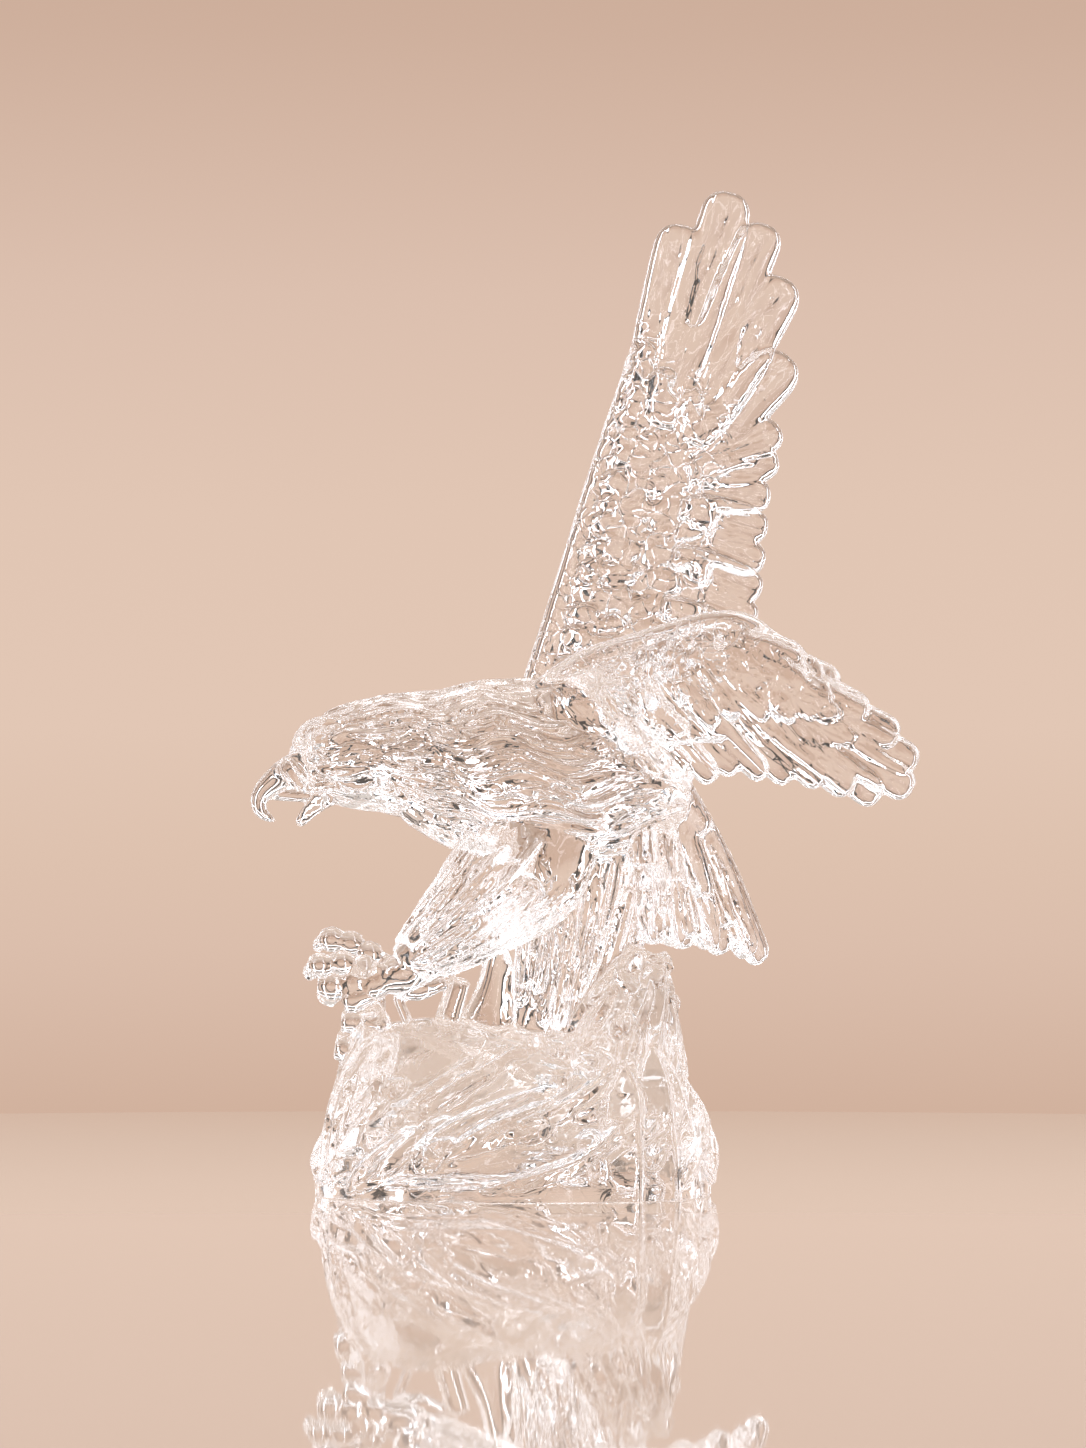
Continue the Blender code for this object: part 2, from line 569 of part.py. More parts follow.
def crag_skin(turn, up):
    """A place on the mound's skin, at a turn about the upright axis and a height in millimetres."""
    heights = [0.0] + [row[0] for row in MOUND]
    above = next((n for n, height in enumerate(heights) if height > up), len(heights) - 1)
    share = (up - heights[above - 1]) / (heights[above] - heights[above - 1])
    lengths = [1.0] + [row[1] for row in MOUND]
    depths = [1.0] + [row[2] for row in MOUND]
    shifts = [0.0] + [row[3] for row in MOUND]
    length, depth, shift = (
        values[above - 1] + (values[above] - values[above - 1]) * share for values in (lengths, depths, shifts)
    )
    x = math.copysign(abs(math.cos(turn)) ** 0.8, math.cos(turn)) * length * BASE_LENGTH / 2
    y = math.copysign(abs(math.sin(turn)) ** 0.8, math.sin(turn)) * depth * BASE_DEPTH / 2
    return Vector((x + shift * MM, y, up * MM))


def crag(pour, rng):
    low = Vector((0, 0, -UNDERSIDE_ALLOWANCE))
    rim = [low, Vector((0, 0, 0)), Vector((0, 0, RIM_HEIGHT)), Vector((0, 0, RIM_HEIGHT * 1.6))]
    lengths = [BASE_LENGTH / 2 * share for share in (1.0, 1.0, 1.0, 0.97)]
    depths = [BASE_DEPTH / 2 * share for share in (1.0, 1.0, 1.0, 0.96)]
    pour.form(rim, lengths, depths, SIDEWAYS, rings=14, sides=40, squareness=0.8)
    path = [low] + [Vector((shift * MM, 0, up * MM)) for up, _, _, shift in MOUND]
    lengths = [BASE_LENGTH / 2 * share for share in [0.98] + [row[1] for row in MOUND]]
    depths = [BASE_DEPTH / 2 * share for share in [0.97] + [row[2] for row in MOUND]]
    pour.form(path, lengths, depths, SIDEWAYS, rings=26, sides=36, squareness=0.8)
    pour.rows(COLUMN, 16, 9)
    pour.rows(PEAK, 18, 9)
    for start, end, radius in EDGE_KNOBS:
        pour.form([at(*start), at(*start).lerp(at(*end), 0.3), at(*end)], drawn(radius, radius, radius * 0.8),
                  drawn(radius, radius * 1.2, radius), SIDEWAYS, rings=10, sides=8)
    for start, end, radius in STRUTS:
        pour.form([at(*start), at(*end)], drawn(radius, radius * 1.3), drawn(radius, radius * 1.3), SIDEWAYS,
                  rings=10, sides=8)
    web = [at(-1.0, 3.0, 74.0), at(-2.4, 3.0, 60.0), at(-4.4, 2.0, 48.0), at(-6.4, 1.0, 38.0), at(-7.0, 0.0, 31.0)]
    pour.form(web, drawn(5.0, 4.0, 4.4, 7.4, 8.4), drawn(4.0, 3.4, 3.0, 3.0, 3.6), SIDEWAYS, rings=16, sides=12)
    strata(pour, rng)
    shards(pour)


def strata(pour, rng):
    """Adds the slanting beds of the crag, all round it, and the ridges of its tall parts."""
    for n in range(BEDS):
        turn = 2 * math.pi * (n * 0.382 + rng.uniform(-0.01, 0.01))
        rise = -0.7 * math.sin(turn)
        low = 1.0 + 17.0 * (n % 3) / 2
        high = min(low + rng.uniform(14.0, 22.0), 34.5)
        path = [crag_skin(turn + rise * step, low + (high - low) * step) for step in (0.0, 0.33, 0.66, 1.0)]
        path[0] = Vector((path[0].x * 0.97, path[0].y * 0.97, path[0].z))
        slope = UP * (0.4 + 0.25 * (n % 3))
        face = (Vector((path[1].x / BASE_LENGTH, path[1].y / BASE_DEPTH, 0.0)).normalized() + slope).normalized()
        thick = rng.uniform(1.5, 2.6)
        pour.form(path, drawn(thick, thick * 1.3, thick * 1.1, thick * 0.4), drawn(1.6, 3.4, 3.2, 1.2), face,
                  rings=10, sides=5)
    ridges(pour, PEAK, 11, 0.30, 0.58, rng)
    ridges(pour, COLUMN, 12, 0.12, 0.60, rng)
    ridges(pour, COLUMN, 9, 0.45, 0.50, rng)


def ridges(pour, rows, count, start, length, rng):
    """Adds ridges that climb a tall part of the crag, from a share of its height."""
    path = [at(*row[:3]) for row in rows]
    heights, widths = (drawn(*(row[n] for row in rows)) for n in (3, 4))
    for n in range(count):
        turn = 2 * math.pi * (n + rng.uniform(-0.25, 0.25)) / count
        points = []
        for step in (0.0, 0.4, 0.7, 1.0):
            share = start + length * step
            angle = turn + 0.5 * step
            out = Vector((spline(heights, share) * math.cos(angle), spline(widths, share) * math.sin(angle), 0))
            points.append(spline(path, share) + out)
        face = (points[1] - spline(path, start + 0.4 * length)).normalized()
        pour.form(points, drawn(1.6, 2.4, 2.0, 1.0), drawn(1.6, 2.3, 2.0, 1.0), face, rings=10, sides=5)


def shards(pour):
    """Adds the upright splinters at the tail end of the crag: turn, half width, top and lean."""
    for turn, width, top, lean in ((-1.05, 5.4, 31.0, 4.0), (-0.72, 5.0, 36.0, 2.0), (-0.38, 4.6, 33.0, -1.0),
                                   (0.35, 5.0, 30.0, -2.0), (0.8, 5.2, 33.0, 2.0)):
        foot = crag_skin(turn, 0.0) * 0.92
        point = crag_skin(turn, 24.0) * 0.96
        point = Vector((point.x + lean * MM, point.y, top * MM))
        path = [foot - UP * (UNDERSIDE_ALLOWANCE / 2), foot.lerp(point, 0.4), foot.lerp(point, 0.75), point]
        pour.form(path, drawn(width, width * 0.95, width * 0.8, width * 0.1), drawn(5.0, 5.0, 4.2, 1.0), SIDEWAYS,
                  rings=10, sides=4)


def crystal_material():
    material = bpy.data.materials.new("crystal")
    material.use_nodes = True
    shader = material.node_tree.nodes["Principled BSDF"]
    shader.inputs["Base Color"].default_value = (0.97, 0.97, 0.97, 1.0)
    shader.inputs["Roughness"].default_value = 0.02
    shader.inputs["Metallic"].default_value = 0.0
    shader.inputs["IOR"].default_value = 1.54
    shader.inputs["Transmission Weight"].default_value = 1.0
    return material


def new_collection(name):
    collection = bpy.data.collections.new(name)
    bpy.context.scene.collection.children.link(collection)
    return collection


def underside_cutter(collection):
    """A block whose top is the plane that the underside is ground to."""
    mesh = bpy.data.meshes.new("underside_cutter")
    bm = bmesh.new()
    bmesh.ops.create_cube(bm, size=1.0)
    depth = 4 * UNDERSIDE_ALLOWANCE
    bmesh.ops.scale(bm, vec=(2 * BASE_LENGTH, 2 * BASE_DEPTH, depth), verts=bm.verts)
    bmesh.ops.translate(bm, vec=(0, 0, -depth / 2), verts=bm.verts)
    bm.to_mesh(mesh)
    bm.free()
    cutter = bpy.data.objects.new("underside_cutter", mesh)
    cutter.hide_render = True
    cutter.display_type = "WIRE"
    collection.objects.link(cutter)
    return cutter


def largest_skin(bm):
    """Leaves only the largest connected skin, so that no bubble stays inside the casting."""
    unseen = set(bm.verts)
    skins = []
    while unseen:
        skin, edge = set(), [unseen.pop()]
        while edge:
            vert = edge.pop()
            skin.add(vert)
            for link in vert.link_edges:
                other = link.other_vert(vert)
                if other in unseen:
                    unseen.remove(other)
                    edge.append(other)
        skins.append(skin)
    kept = max(skins, key=len)
    spare = [vert for vert in bm.verts if vert not in kept]
    bmesh.ops.delete(bm, geom=spare, context="VERTS")


def fused(forms, collection):
    """The overlapping forms fused into one skin of fine even faces."""
    obj = bpy.data.objects.new("forms", forms)
    collection.objects.link(obj)
    fuse = obj.modifiers.new("fuse", "REMESH")
    fuse.mode = "VOXEL"
    fuse.voxel_size = CAST_GRAIN
    soften = obj.modifiers.new("soften", "SMOOTH")
    soften.factor = 0.5
    soften.iterations = SMOOTHING_PASSES
    bpy.context.view_layer.update()
    bm = bmesh.new()
    bm.from_object(obj, bpy.context.evaluated_depsgraph_get())
    bpy.data.objects.remove(obj)
    bpy.data.meshes.remove(forms)
    largest_skin(bm)
    mesh = bpy.data.meshes.new("crystal_eagle")
    bm.to_mesh(mesh)
    bm.free()
    return mesh


def cast_eagle(collection, cutter):
    """Fuses every form into one casting, thins its facets and grinds its underside flat."""
    rng = random.Random(7)
    pour = Pour()
    head(pour)
    body_plumage(pour, rng)
    far_wing(pour, rng)
    near_wing(pour, rng)
    tail(pour)
    leg(pour, NEAR_THIGH, rng, 26, 0.42)
    leg(pour, FAR_THIGH, rng, 26, 0.36)
    leg(pour, VENT, rng, 24, 0.36)
    feet(pour)
    crag(pour, rng)
    mesh = fused(pour.finish(), collection)
    mesh.materials.append(crystal_material())
    eagle = bpy.data.objects.new("crystal_eagle", mesh)
    collection.objects.link(eagle)
    facet = eagle.modifiers.new("facet", "DECIMATE")
    facet.ratio = FACETS / (2 * len(mesh.polygons))
    grind = eagle.modifiers.new("grind", "BOOLEAN")
    grind.operation = "DIFFERENCE"
    grind.object = cutter


def main():
    for obj in list(bpy.data.objects):
        bpy.data.objects.remove(obj)
    cutter = underside_cutter(new_collection("cutters"))
    cast_eagle(new_collection("crystal eagle"), cutter)


main()
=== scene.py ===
# %% [markdown]
# # A crystal eagle landing on a crag
# The real piece is one solid casting of clear crystal glass, 240 mm tall. Its maker models every
# feather and rock in wax, takes a mould from the wax, pours the glass once, and polishes the base.
# This notebook follows the same order. It presses simple forms together, fuses them into one skin,
# gives the skin its finish, and stands it on a glossy table in soft light. The whole shape comes from
# a few named sizes, short tables of places, and loops, so that a reader can change any of them.

# %% Load the solid
import json
import math
import random

import bmesh
import bpy
import numpy as np
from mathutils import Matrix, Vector
from mathutils.kdtree import KDTree

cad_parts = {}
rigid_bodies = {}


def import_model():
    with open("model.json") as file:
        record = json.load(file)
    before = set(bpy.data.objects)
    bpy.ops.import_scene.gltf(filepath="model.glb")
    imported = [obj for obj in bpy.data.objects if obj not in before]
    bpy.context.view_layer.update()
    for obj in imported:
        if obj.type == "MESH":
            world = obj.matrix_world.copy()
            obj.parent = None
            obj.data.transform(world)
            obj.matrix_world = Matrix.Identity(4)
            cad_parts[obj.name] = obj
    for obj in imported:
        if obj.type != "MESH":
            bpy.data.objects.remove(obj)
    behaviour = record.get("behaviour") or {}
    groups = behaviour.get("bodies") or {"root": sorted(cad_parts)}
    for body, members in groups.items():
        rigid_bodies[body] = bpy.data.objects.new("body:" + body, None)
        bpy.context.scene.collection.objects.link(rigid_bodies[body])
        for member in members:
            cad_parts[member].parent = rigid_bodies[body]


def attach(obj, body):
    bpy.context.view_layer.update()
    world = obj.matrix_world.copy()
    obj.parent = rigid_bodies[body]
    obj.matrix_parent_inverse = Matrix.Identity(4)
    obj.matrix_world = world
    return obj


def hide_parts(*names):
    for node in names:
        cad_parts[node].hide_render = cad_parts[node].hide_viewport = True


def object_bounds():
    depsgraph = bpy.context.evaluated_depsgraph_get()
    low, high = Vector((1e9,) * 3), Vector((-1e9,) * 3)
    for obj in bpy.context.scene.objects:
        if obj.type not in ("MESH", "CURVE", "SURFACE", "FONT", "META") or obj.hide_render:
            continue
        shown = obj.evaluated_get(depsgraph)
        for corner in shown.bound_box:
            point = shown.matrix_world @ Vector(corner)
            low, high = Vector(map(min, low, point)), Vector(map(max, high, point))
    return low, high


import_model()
cad_low, cad_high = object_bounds()
print("solid's box in mm:", [round(side * 1000, 1) for side in cad_high - cad_low])

# %% [markdown]
# ## The sizes that drive the casting
# The solid that this script loads was shaped from the same sizes. The figure is drawn in millimetres at
# 240 mm tall, and every place on it is multiplied by MM, so a taller figure keeps its proportions. The
# casting's finest form is set by CAST_GRAIN. It is finer here than in the solid, because this skin
# carries the shafts, strands and small rocks that are seen only from near by.

# %% Name the driving sizes, in metres
FIGURE_HEIGHT = 0.240
DRAWN_HEIGHT = 240.0  # millimetres, the height that the figure is drawn at
MM = FIGURE_HEIGHT / DRAWN_HEIGHT
BASE_LENGTH = 0.0935
BASE_DEPTH = 0.076
RIM_HEIGHT = 0.0035
FEATHER_THICKNESS = 0.0030
WING_ROOT_THICKNESS = 0.0070
WING_EDGE_THICKNESS = 0.0022
PLUMAGE_RELIEF = 0.0014
CAST_GRAIN = 0.0005
UNDERSIDE_ALLOWANCE = 0.006
MOST_TRIANGLES = 192000
SIDEWAYS = Vector((0.0, 1.0, 0.0))
UP = Vector((0.0, 0.0, 1.0))
print("one drawn millimetre is", MM, "m")

# %% [markdown]
# ## Smooth lines through a few points
# A wing's edge or a beak's curve is drawn here as a handful of points. A curve object could join them, but
# a small function that gives the place at any share of the way is easier to use for widths and thicknesses
# too. It is a cubic spline that passes through each of its points.


# %% Follow a smooth line
def spline(values, share):
    """The value at a share of the way along a smooth curve through the values."""
    last = len(values) - 1
    place = min(max(share, 0.0), 1.0) * last
    first = min(int(place), last - 1)
    t = place - first
    before, start = values[max(first - 1, 0)], values[first]
    end, after = values[first + 1], values[min(first + 2, last)]
    return 0.5 * (
        2 * start
        + (end - before) * t
        + (2 * before - 5 * start + 4 * end - after) * t * t
        + (3 * start - before - 3 * end + after) * t * t * t
    )


def at(along, sideways, up):
    """A drawn place in millimetres as a place in the scene."""
    return Vector((along, sideways, up)) * MM


def drawn(*sizes):
    """Drawn sizes in millimetres as sizes in the scene."""
    return [size * MM for size in sizes]


print("half way from 0 to 8 through 1 and 3:", spline((0.0, 1.0, 3.0, 8.0), 0.5))

# %% [markdown]
# ## Pressing forms together
# Wax feathers and rocks are pressed on to a core until they hold as one. Here each form starts as a UV
# sphere from bmesh.ops.create_uvsphere. Its rings are then carried to stations along a path, which turns
# the ball into a limb, a feather or a splinter of rock. The forms may overlap as they like, because the
# fusing step later melts them together. A squareness under 1 flattens a form's sides and rounds its edges.


# %% Carry a sphere's rings to stations
wax = bmesh.new()
one_form = bpy.data.meshes.new("one_form")
pressed = {"forms": 0}


def press_sphere(station, rings, sides, squareness=1.0):
    """Presses in a sphere with each ring carried to a station: its centre and two half axes."""
    form = bmesh.new()
    bmesh.ops.create_uvsphere(form, u_segments=sides, v_segments=rings, radius=1.0)
    stations = {}
    for vert in form.verts:
        ring = round(vert.co.z, 5)
        if ring not in stations:
            stations[ring] = station((1.0 - vert.co.z) / 2.0)
        centre, across, through = stations[ring]
        radius = math.hypot(vert.co.x, vert.co.y)
        if radius < 1e-6:
            vert.co = centre
            continue
        turn = (vert.co.x / radius, vert.co.y / radius)
        x, y = (math.copysign(abs(c) ** squareness, c) for c in turn)
        vert.co = centre + across * x + through * y
    bmesh.ops.recalc_face_normals(form, faces=form.faces)
    form.to_mesh(one_form)
    form.free()
    wax.from_mesh(one_form)
    pressed["forms"] += 1


# %% Press a form along a path
def size_at(sizes, share):
    """A size from a function of the share, or from a list of sizes."""
    return max(sizes(share) if callable(sizes) else spline(sizes, share), 0.0)


def press_form(path, half_heights, half_widths, face, rings=12, sides=10, squareness=1.0):
    """Presses in a closed form along a path, its half widths measured along face."""

    def station(share):
        ahead = spline(path, share + 0.02) - spline(path, share - 0.02)
        across = ahead.cross(face).normalized()
        through = across.cross(ahead).normalized()
        centre = spline(path, share)
        return centre, across * size_at(half_heights, share), through * size_at(half_widths, share)

    press_sphere(station, rings, sides, squareness)


def split_rows(rows):
    """The path, half heights and half widths of rows: along, sideways, up, half height, half width."""
    path = [at(*row[:3]) for row in rows]
    heights, widths = (drawn(*(row[n] for row in rows)) for n in (3, 4))
    return path, heights, widths


def press_rows(rows, rings, sides):
    """Presses in a form from such rows."""
    press_form(*split_rows(rows), SIDEWAYS, rings, sides)


# %% [markdown]
# ## Remembering which way the feathers run
# A feather's barbs and a lock's strands are finer than the skin's triangles, so the finish draws them
# later. It has to know their direction at every place. Each feather therefore leaves a trail of marks as
# it is pressed in: a place, the way along, the way across, and the millimetres travelled. A mark also
# says how deep the long lines are there, because a claw or a polished rim has none, and how strong the
# net of small wrinkles is, which the mould leaves among small feathers.


# %% Leave a trail of grain marks
trail = []
fine = random.Random(11)


def leave_grain(path, face, depth=1.0, net=0.0, barbed=False, every=0.0012):
    """Marks the grain along a path, in steps of about a millimetre."""
    length = sum((end - start).length for start, end in zip(path, path[1:]))
    steps = max(3, round(length / every))
    offset = fine.uniform(0.0, 60.0)
    for n in range(steps + 1):
        share = n / steps
        along = (spline(path, share + 0.03) - spline(path, share - 0.03)).normalized()
        across = along.cross(face).normalized()
        travelled = offset + share * length * 1000
        trail.append((spline(path, share), along, across, travelled, barbed, depth, net))


def press_ridge(path, size, face, rings=8):
    """Presses in a fine raised line of a half thickness in millimetres, thinner at its ends."""
    sizes = drawn(size * 0.6, size, size, size * 0.5)
    press_form(path, sizes, sizes, face, rings, 6)


print("trail starts with", len(trail), "marks")

# %% [markdown]
# ## The head and the core of the body
# The head, neck and body of an eagle flow into each other, so one form from cere to rump makes all three:
# each row of the table is a place on the spine with the body's half height and half width there. Two more
# forms are the halves of the open beak, with the tongue between them. The brow, eyelid and nostril rims are
# fine raised lines, since pressing wax on is easier than carving it away, for a maker as for a script.

# %% Draw the spine and beak
SPINE = (
    (-52.9, 102.7, 2.4, 3.0),
    (-49.3, 102.7, 5.4, 5.2),
    (-44.6, 102.9, 8.9, 7.4),
    (-38.7, 103.2, 11.2, 9.0),
    (-31.6, 103.6, 12.6, 10.0),
    (-24.6, 102.8, 13.9, 11.4),
    (-17.5, 100.8, 16.9, 13.4),
    (-9.2, 99.4, 19.9, 16.2),
    (-0.9, 98.7, 21.6, 18.2),
    (8.5, 97.6, 22.2, 19.2),
    (17.9, 97.0, 21.0, 18.2),
    (27.4, 97.3, 17.6, 15.4),
    (35.7, 96.8, 10.6, 10.8),
    (41.6, 94.9, 4.7, 6.0),
)
UPPER_BEAK = (
    (-49.5, 99.8, 5.4, 4.8),
    (-53.4, 99.0, 3.8, 3.8),
    (-56.0, 97.4, 3.2, 3.2),
    (-58.6, 95.2, 2.6, 2.6),
    (-60.2, 92.8, 2.1, 2.1),
    (-60.0, 90.4, 1.8, 1.7),
    (-58.6, 88.8, 1.3, 1.3),
    (-56.4, 87.6, 0.6, 0.8),
)
LOWER_BEAK = (
    (-43.0, 94.4, 3.0, 5.0),
    (-45.5, 92.4, 2.4, 4.2),
    (-47.8, 90.4, 1.9, 3.2),
    (-49.8, 88.1, 1.5, 2.2),
    (-51.0, 86.5, 0.9, 1.2),
)
TONGUE = (
    (-47.0, 93.4, 1.3, 2.2),
    (-52.0, 93.6, 1.5, 2.0),
    (-57.6, 93.6, 1.1, 1.2),
)


# %% Press in the head
def middle_rows(rows):
    """Rows of along, up, half height and half width, placed on the middle plane."""
    return [(along, 0.0, up, height, width) for along, up, height, width in rows]


def curl(centre, radius, turn, lean, side):
    """A nearly closed ring of places about a centre, flat against the side of the head."""
    places = []
    for n in range(9):
        angle = math.radians(turn + 320 * n / 8)
        out = Vector((math.cos(angle), lean * math.cos(angle) * side, math.sin(angle)))
        places.append(centre + out * radius * MM)
    return places


press_rows(middle_rows(SPINE), 48, 32)
press_rows(middle_rows(UPPER_BEAK), 30, 18)
press_rows(middle_rows(LOWER_BEAK), 18, 14)
press_rows(middle_rows(TONGUE), 14, 10)
leave_grain([at(x, 0.0, z) for x, z, _, _ in UPPER_BEAK], SIDEWAYS, depth=0.0)
leave_grain([at(x, 0.0, z) for x, z, _, _ in LOWER_BEAK], SIDEWAYS, depth=0.0)
print("forms pressed so far:", pressed["forms"])


# %% Press in the face on both sides
def press_face(side):
    """Presses in one side's brow, eye, eyelid, cere, nostril rim and gape."""
    brow = [at(-51.8, 4.2 * side, 105.4), at(-48.6, 6.0 * side, 108.6), at(-44.6, 7.0 * side, 110.4),
            at(-40.0, 7.6 * side, 110.6)]
    press_form(brow, drawn(0.9, 1.5, 1.7, 0.8), drawn(1.2, 2.2, 2.0, 0.8), UP, rings=16, sides=12)
    eye = [at(-46.9, 6.1 * side, 106.2), at(-45.2, 6.7 * side, 106.4), at(-43.5, 7.0 * side, 106.4)]
    press_form(eye, drawn(1.0, 1.9, 1.0), drawn(1.2, 1.9, 1.2), SIDEWAYS, rings=14, sides=14)
    leave_grain([at(-50.0, 7.0 * side, 103.0), at(-45.2, 8.4 * side, 106.4), at(-41.0, 8.4 * side, 103.0)],
                SIDEWAYS, depth=0.0)
    press_ridge(curl(at(-45.0, 7.8 * side, 106.2), 3.1, 60, -0.25, side), 0.75, SIDEWAYS, rings=20)
    cere = [at(-53.8, 3.2 * side, 102.0), at(-52.4, 4.4 * side, 99.4), at(-50.0, 5.0 * side, 95.8)]
    press_form(cere, drawn(1.0, 1.5, 1.2), drawn(1.0, 1.2, 1.0), SIDEWAYS, rings=12, sides=10)
    press_ridge(curl(at(-54.6, 3.4 * side, 99.8), 1.1, 30, -0.3, side), 0.4, SIDEWAYS, rings=16)
    gape = [at(-51.6, 3.4 * side, 95.4), at(-47.0, 5.6 * side, 95.0), at(-41.6, 7.6 * side, 95.8)]
    press_form(gape, drawn(0.8, 1.3, 0.9), drawn(1.0, 1.4, 1.0), SIDEWAYS, rings=12, sides=10)


for side in (-1, 1):
    press_face(side)
print("forms pressed so far:", pressed["forms"])

# %% [markdown]
# ## Locks of feathers on the body
# The glass keeps no single feathers on the neck and flanks. It keeps flat locks that flow back from the
# head, each with a tip that stands a little off the skin. One lock is a thin form laid along four places
# on the skin. The rows are offset like roof tiles, and a seeded random sway keeps them from looking
# stamped while each run gives the same eagle.


# %% Find a place on the body's skin
def body_skin(share, angle, lift):
    """A place on the body's skin and the way it faces. Angle 0 is the near flank, 90 the back."""
    along, up, height, width = (spline([row[n] for row in SPINE], share) for n in range(4))
    turn = math.radians(angle)
    skin = Vector((along, -width * math.cos(turn), up + height * math.sin(turn)))
    face = Vector((0, -math.cos(turn) / width, math.sin(turn) / height)).normalized()
    return skin * MM + face * lift, face


# %% Press in one lock
def press_lock(points, half_width, face, strand=True):
    """Presses in a lock of body feathers, with or without a fine strand down its middle."""
    widths = drawn(*(half_width * share for share in (0.5, 0.9, 1.0, 0.9, 0.35)))
    depths = [PLUMAGE_RELIEF * share for share in (0.15, 0.28, 0.32, 0.25, 0.12)]
    press_form(points, widths, depths, face, rings=12, sides=10)
    leave_grain(points, face, depth=0.2)
    if strand:
        off = face * PLUMAGE_RELIEF * 0.75
        line = [point + off * (1.0 if n < 3 else 0.55) for n, point in enumerate(points)]
        press_ridge(line, 0.6, face)


# %% Lay the locks over the body
rng = random.Random(7)


def lay_body_plumage(rows=13):
    """Lays long locks of feathers from the head over the neck, back and flanks."""
    for row in range(rows):
        share = 0.13 + 0.76 * row / rows
        count = 14 if row > 5 else 11
        for n in range(count):
            angle = -96 + 360 * (n + 0.5 * (row % 2)) / count + rng.uniform(-5, 5)
            length = 0.15 + rng.uniform(-0.02, 0.03)
            sway = rng.uniform(-6, 6)
            points = []
            for step in (0.0, 0.33, 0.66, 1.0):
                wave = 2 * sway * math.sin(step * math.pi * 1.5)
                lift = PLUMAGE_RELIEF * (0.1 + 0.15 * step)
                place, face = body_skin(share + length * step, angle + wave, lift)
                points.append(place)
            press_lock(points, 2.9 if row > 4 else 2.3, face, strand=False)


lay_body_plumage()
print("forms pressed so far:", pressed["forms"])

# %% [markdown]
# ## Long wavy strands
# What catches the light on the body is finer than the locks: strands about 4 mm apart that run side by
# side in long S curves, like wet hair. Neighbours swing almost together, so they never cross. Each strand
# is a thin raised line, and the next one starts just before it ends.


# %% Lay the strands over the body
STRAND_LINES = 32
STRAND_WAVE = 4.0  # degrees round the body that a strand swings to each side
STRAND_BENDS = 5  # full waves from the head to the tail


def lay_body_strands(first=0.09, last=0.93):
    """Lays long wavy lines side by side from the head to the tail."""
    laid = 0
    for n in range(STRAND_LINES):
        angle = 360 * n / STRAND_LINES - 90
        start = (0.24 if n % 2 else first) + fine.uniform(0.0, 0.08)
        while start < last - 0.06:
            length = min(fine.uniform(0.14, 0.24), last - start)
            line = []
            for step in (0.0, 0.2, 0.4, 0.6, 0.8, 1.0):
                share = start + length * step
                swing = STRAND_WAVE * math.sin(2 * math.pi * STRAND_BENDS * share + 0.06 * angle)
                place, face = body_skin(share, angle + swing, PLUMAGE_RELIEF * 0.5)
                line.append(place)
            press_ridge(line, fine.uniform(0.65, 0.95), face, rings=14)
            leave_grain(line, face, depth=0.15)
            start += length * 0.95
            laid += 1
    return laid


print("strands on the body:", lay_body_strands())

# %% [markdown]
# ## A wing as a bent sheet
# Both wings are thin sheets that bend in space. Each row of a wing's table is one line across it, from
# the leading edge to the trailing edge. Going along the lines is the chord, and going from line to line is
# the span. With those two numbers any feather can be placed on the wing and knows which way it faces.

# %% Draw the far wing
FAR_WING = (
    ((1.0, 6.0, 106.0), (28.0, 6.0, 99.0)),
    ((3.8, 9.0, 118.0), (38.0, 9.0, 112.0)),
    ((7.2, 12.5, 130.0), (49.0, 12.5, 125.0)),
    ((10.2, 15.5, 140.5), (54.0, 15.0, 137.0)),
    ((13.2, 18.0, 150.2), (55.6, 17.5, 149.0)),
    ((16.0, 21.0, 159.9), (56.2, 20.5, 159.5)),
    ((18.9, 23.0, 169.7), (57.0, 22.5, 170.5)),
    ((22.1, 25.0, 179.4), (58.6, 24.5, 181.0)),
    ((25.2, 27.0, 189.2), (60.0, 26.5, 191.5)),
    ((28.4, 29.0, 199.1), (61.5, 28.5, 201.0)),
    ((31.2, 30.0, 208.8), (60.0, 29.5, 211.0)),
    ((34.0, 31.0, 216.5), (55.0, 31.0, 220.0)),
)
FAR_PRIMARIES = (  # root, tip, half width
    ((31.4, 27.0, 187.0), (41.0, 32.0, 232.6), 6.3),
    ((35.5, 26.5, 183.0), (53.0, 33.5, 240.2), 6.4),
    ((40.0, 26.0, 181.0), (61.4, 33.0, 232.8), 5.8),
    ((43.0, 25.5, 178.5), (66.1, 32.0, 219.0), 6.4),
    ((44.0, 25.0, 176.0), (66.9, 30.5, 200.2), 6.6),
)
FAR_SECONDARIES = (
    ((43.0, 24.0, 172.5), (64.6, 27.0, 182.4), 4.7),
    ((42.0, 23.5, 170.5), (64.0, 26.0, 174.6), 4.7),
    ((41.0, 22.0, 167.5), (62.0, 24.0, 166.0), 4.8),
    ((40.0, 20.5, 162.5), (61.2, 22.5, 157.6), 4.7),
    ((39.0, 19.0, 157.0), (60.4, 20.8, 149.8), 4.6),
    ((38.0, 17.5, 151.0), (59.6, 19.0, 142.6), 4.4),
    ((37.0, 16.0, 145.0), (58.4, 17.4, 136.0), 4.2),
    ((35.5, 14.5, 139.0), (55.6, 15.8, 130.0), 4.0),
    ((33.0, 13.0, 133.0), (51.6, 14.2, 124.6), 3.8),
)

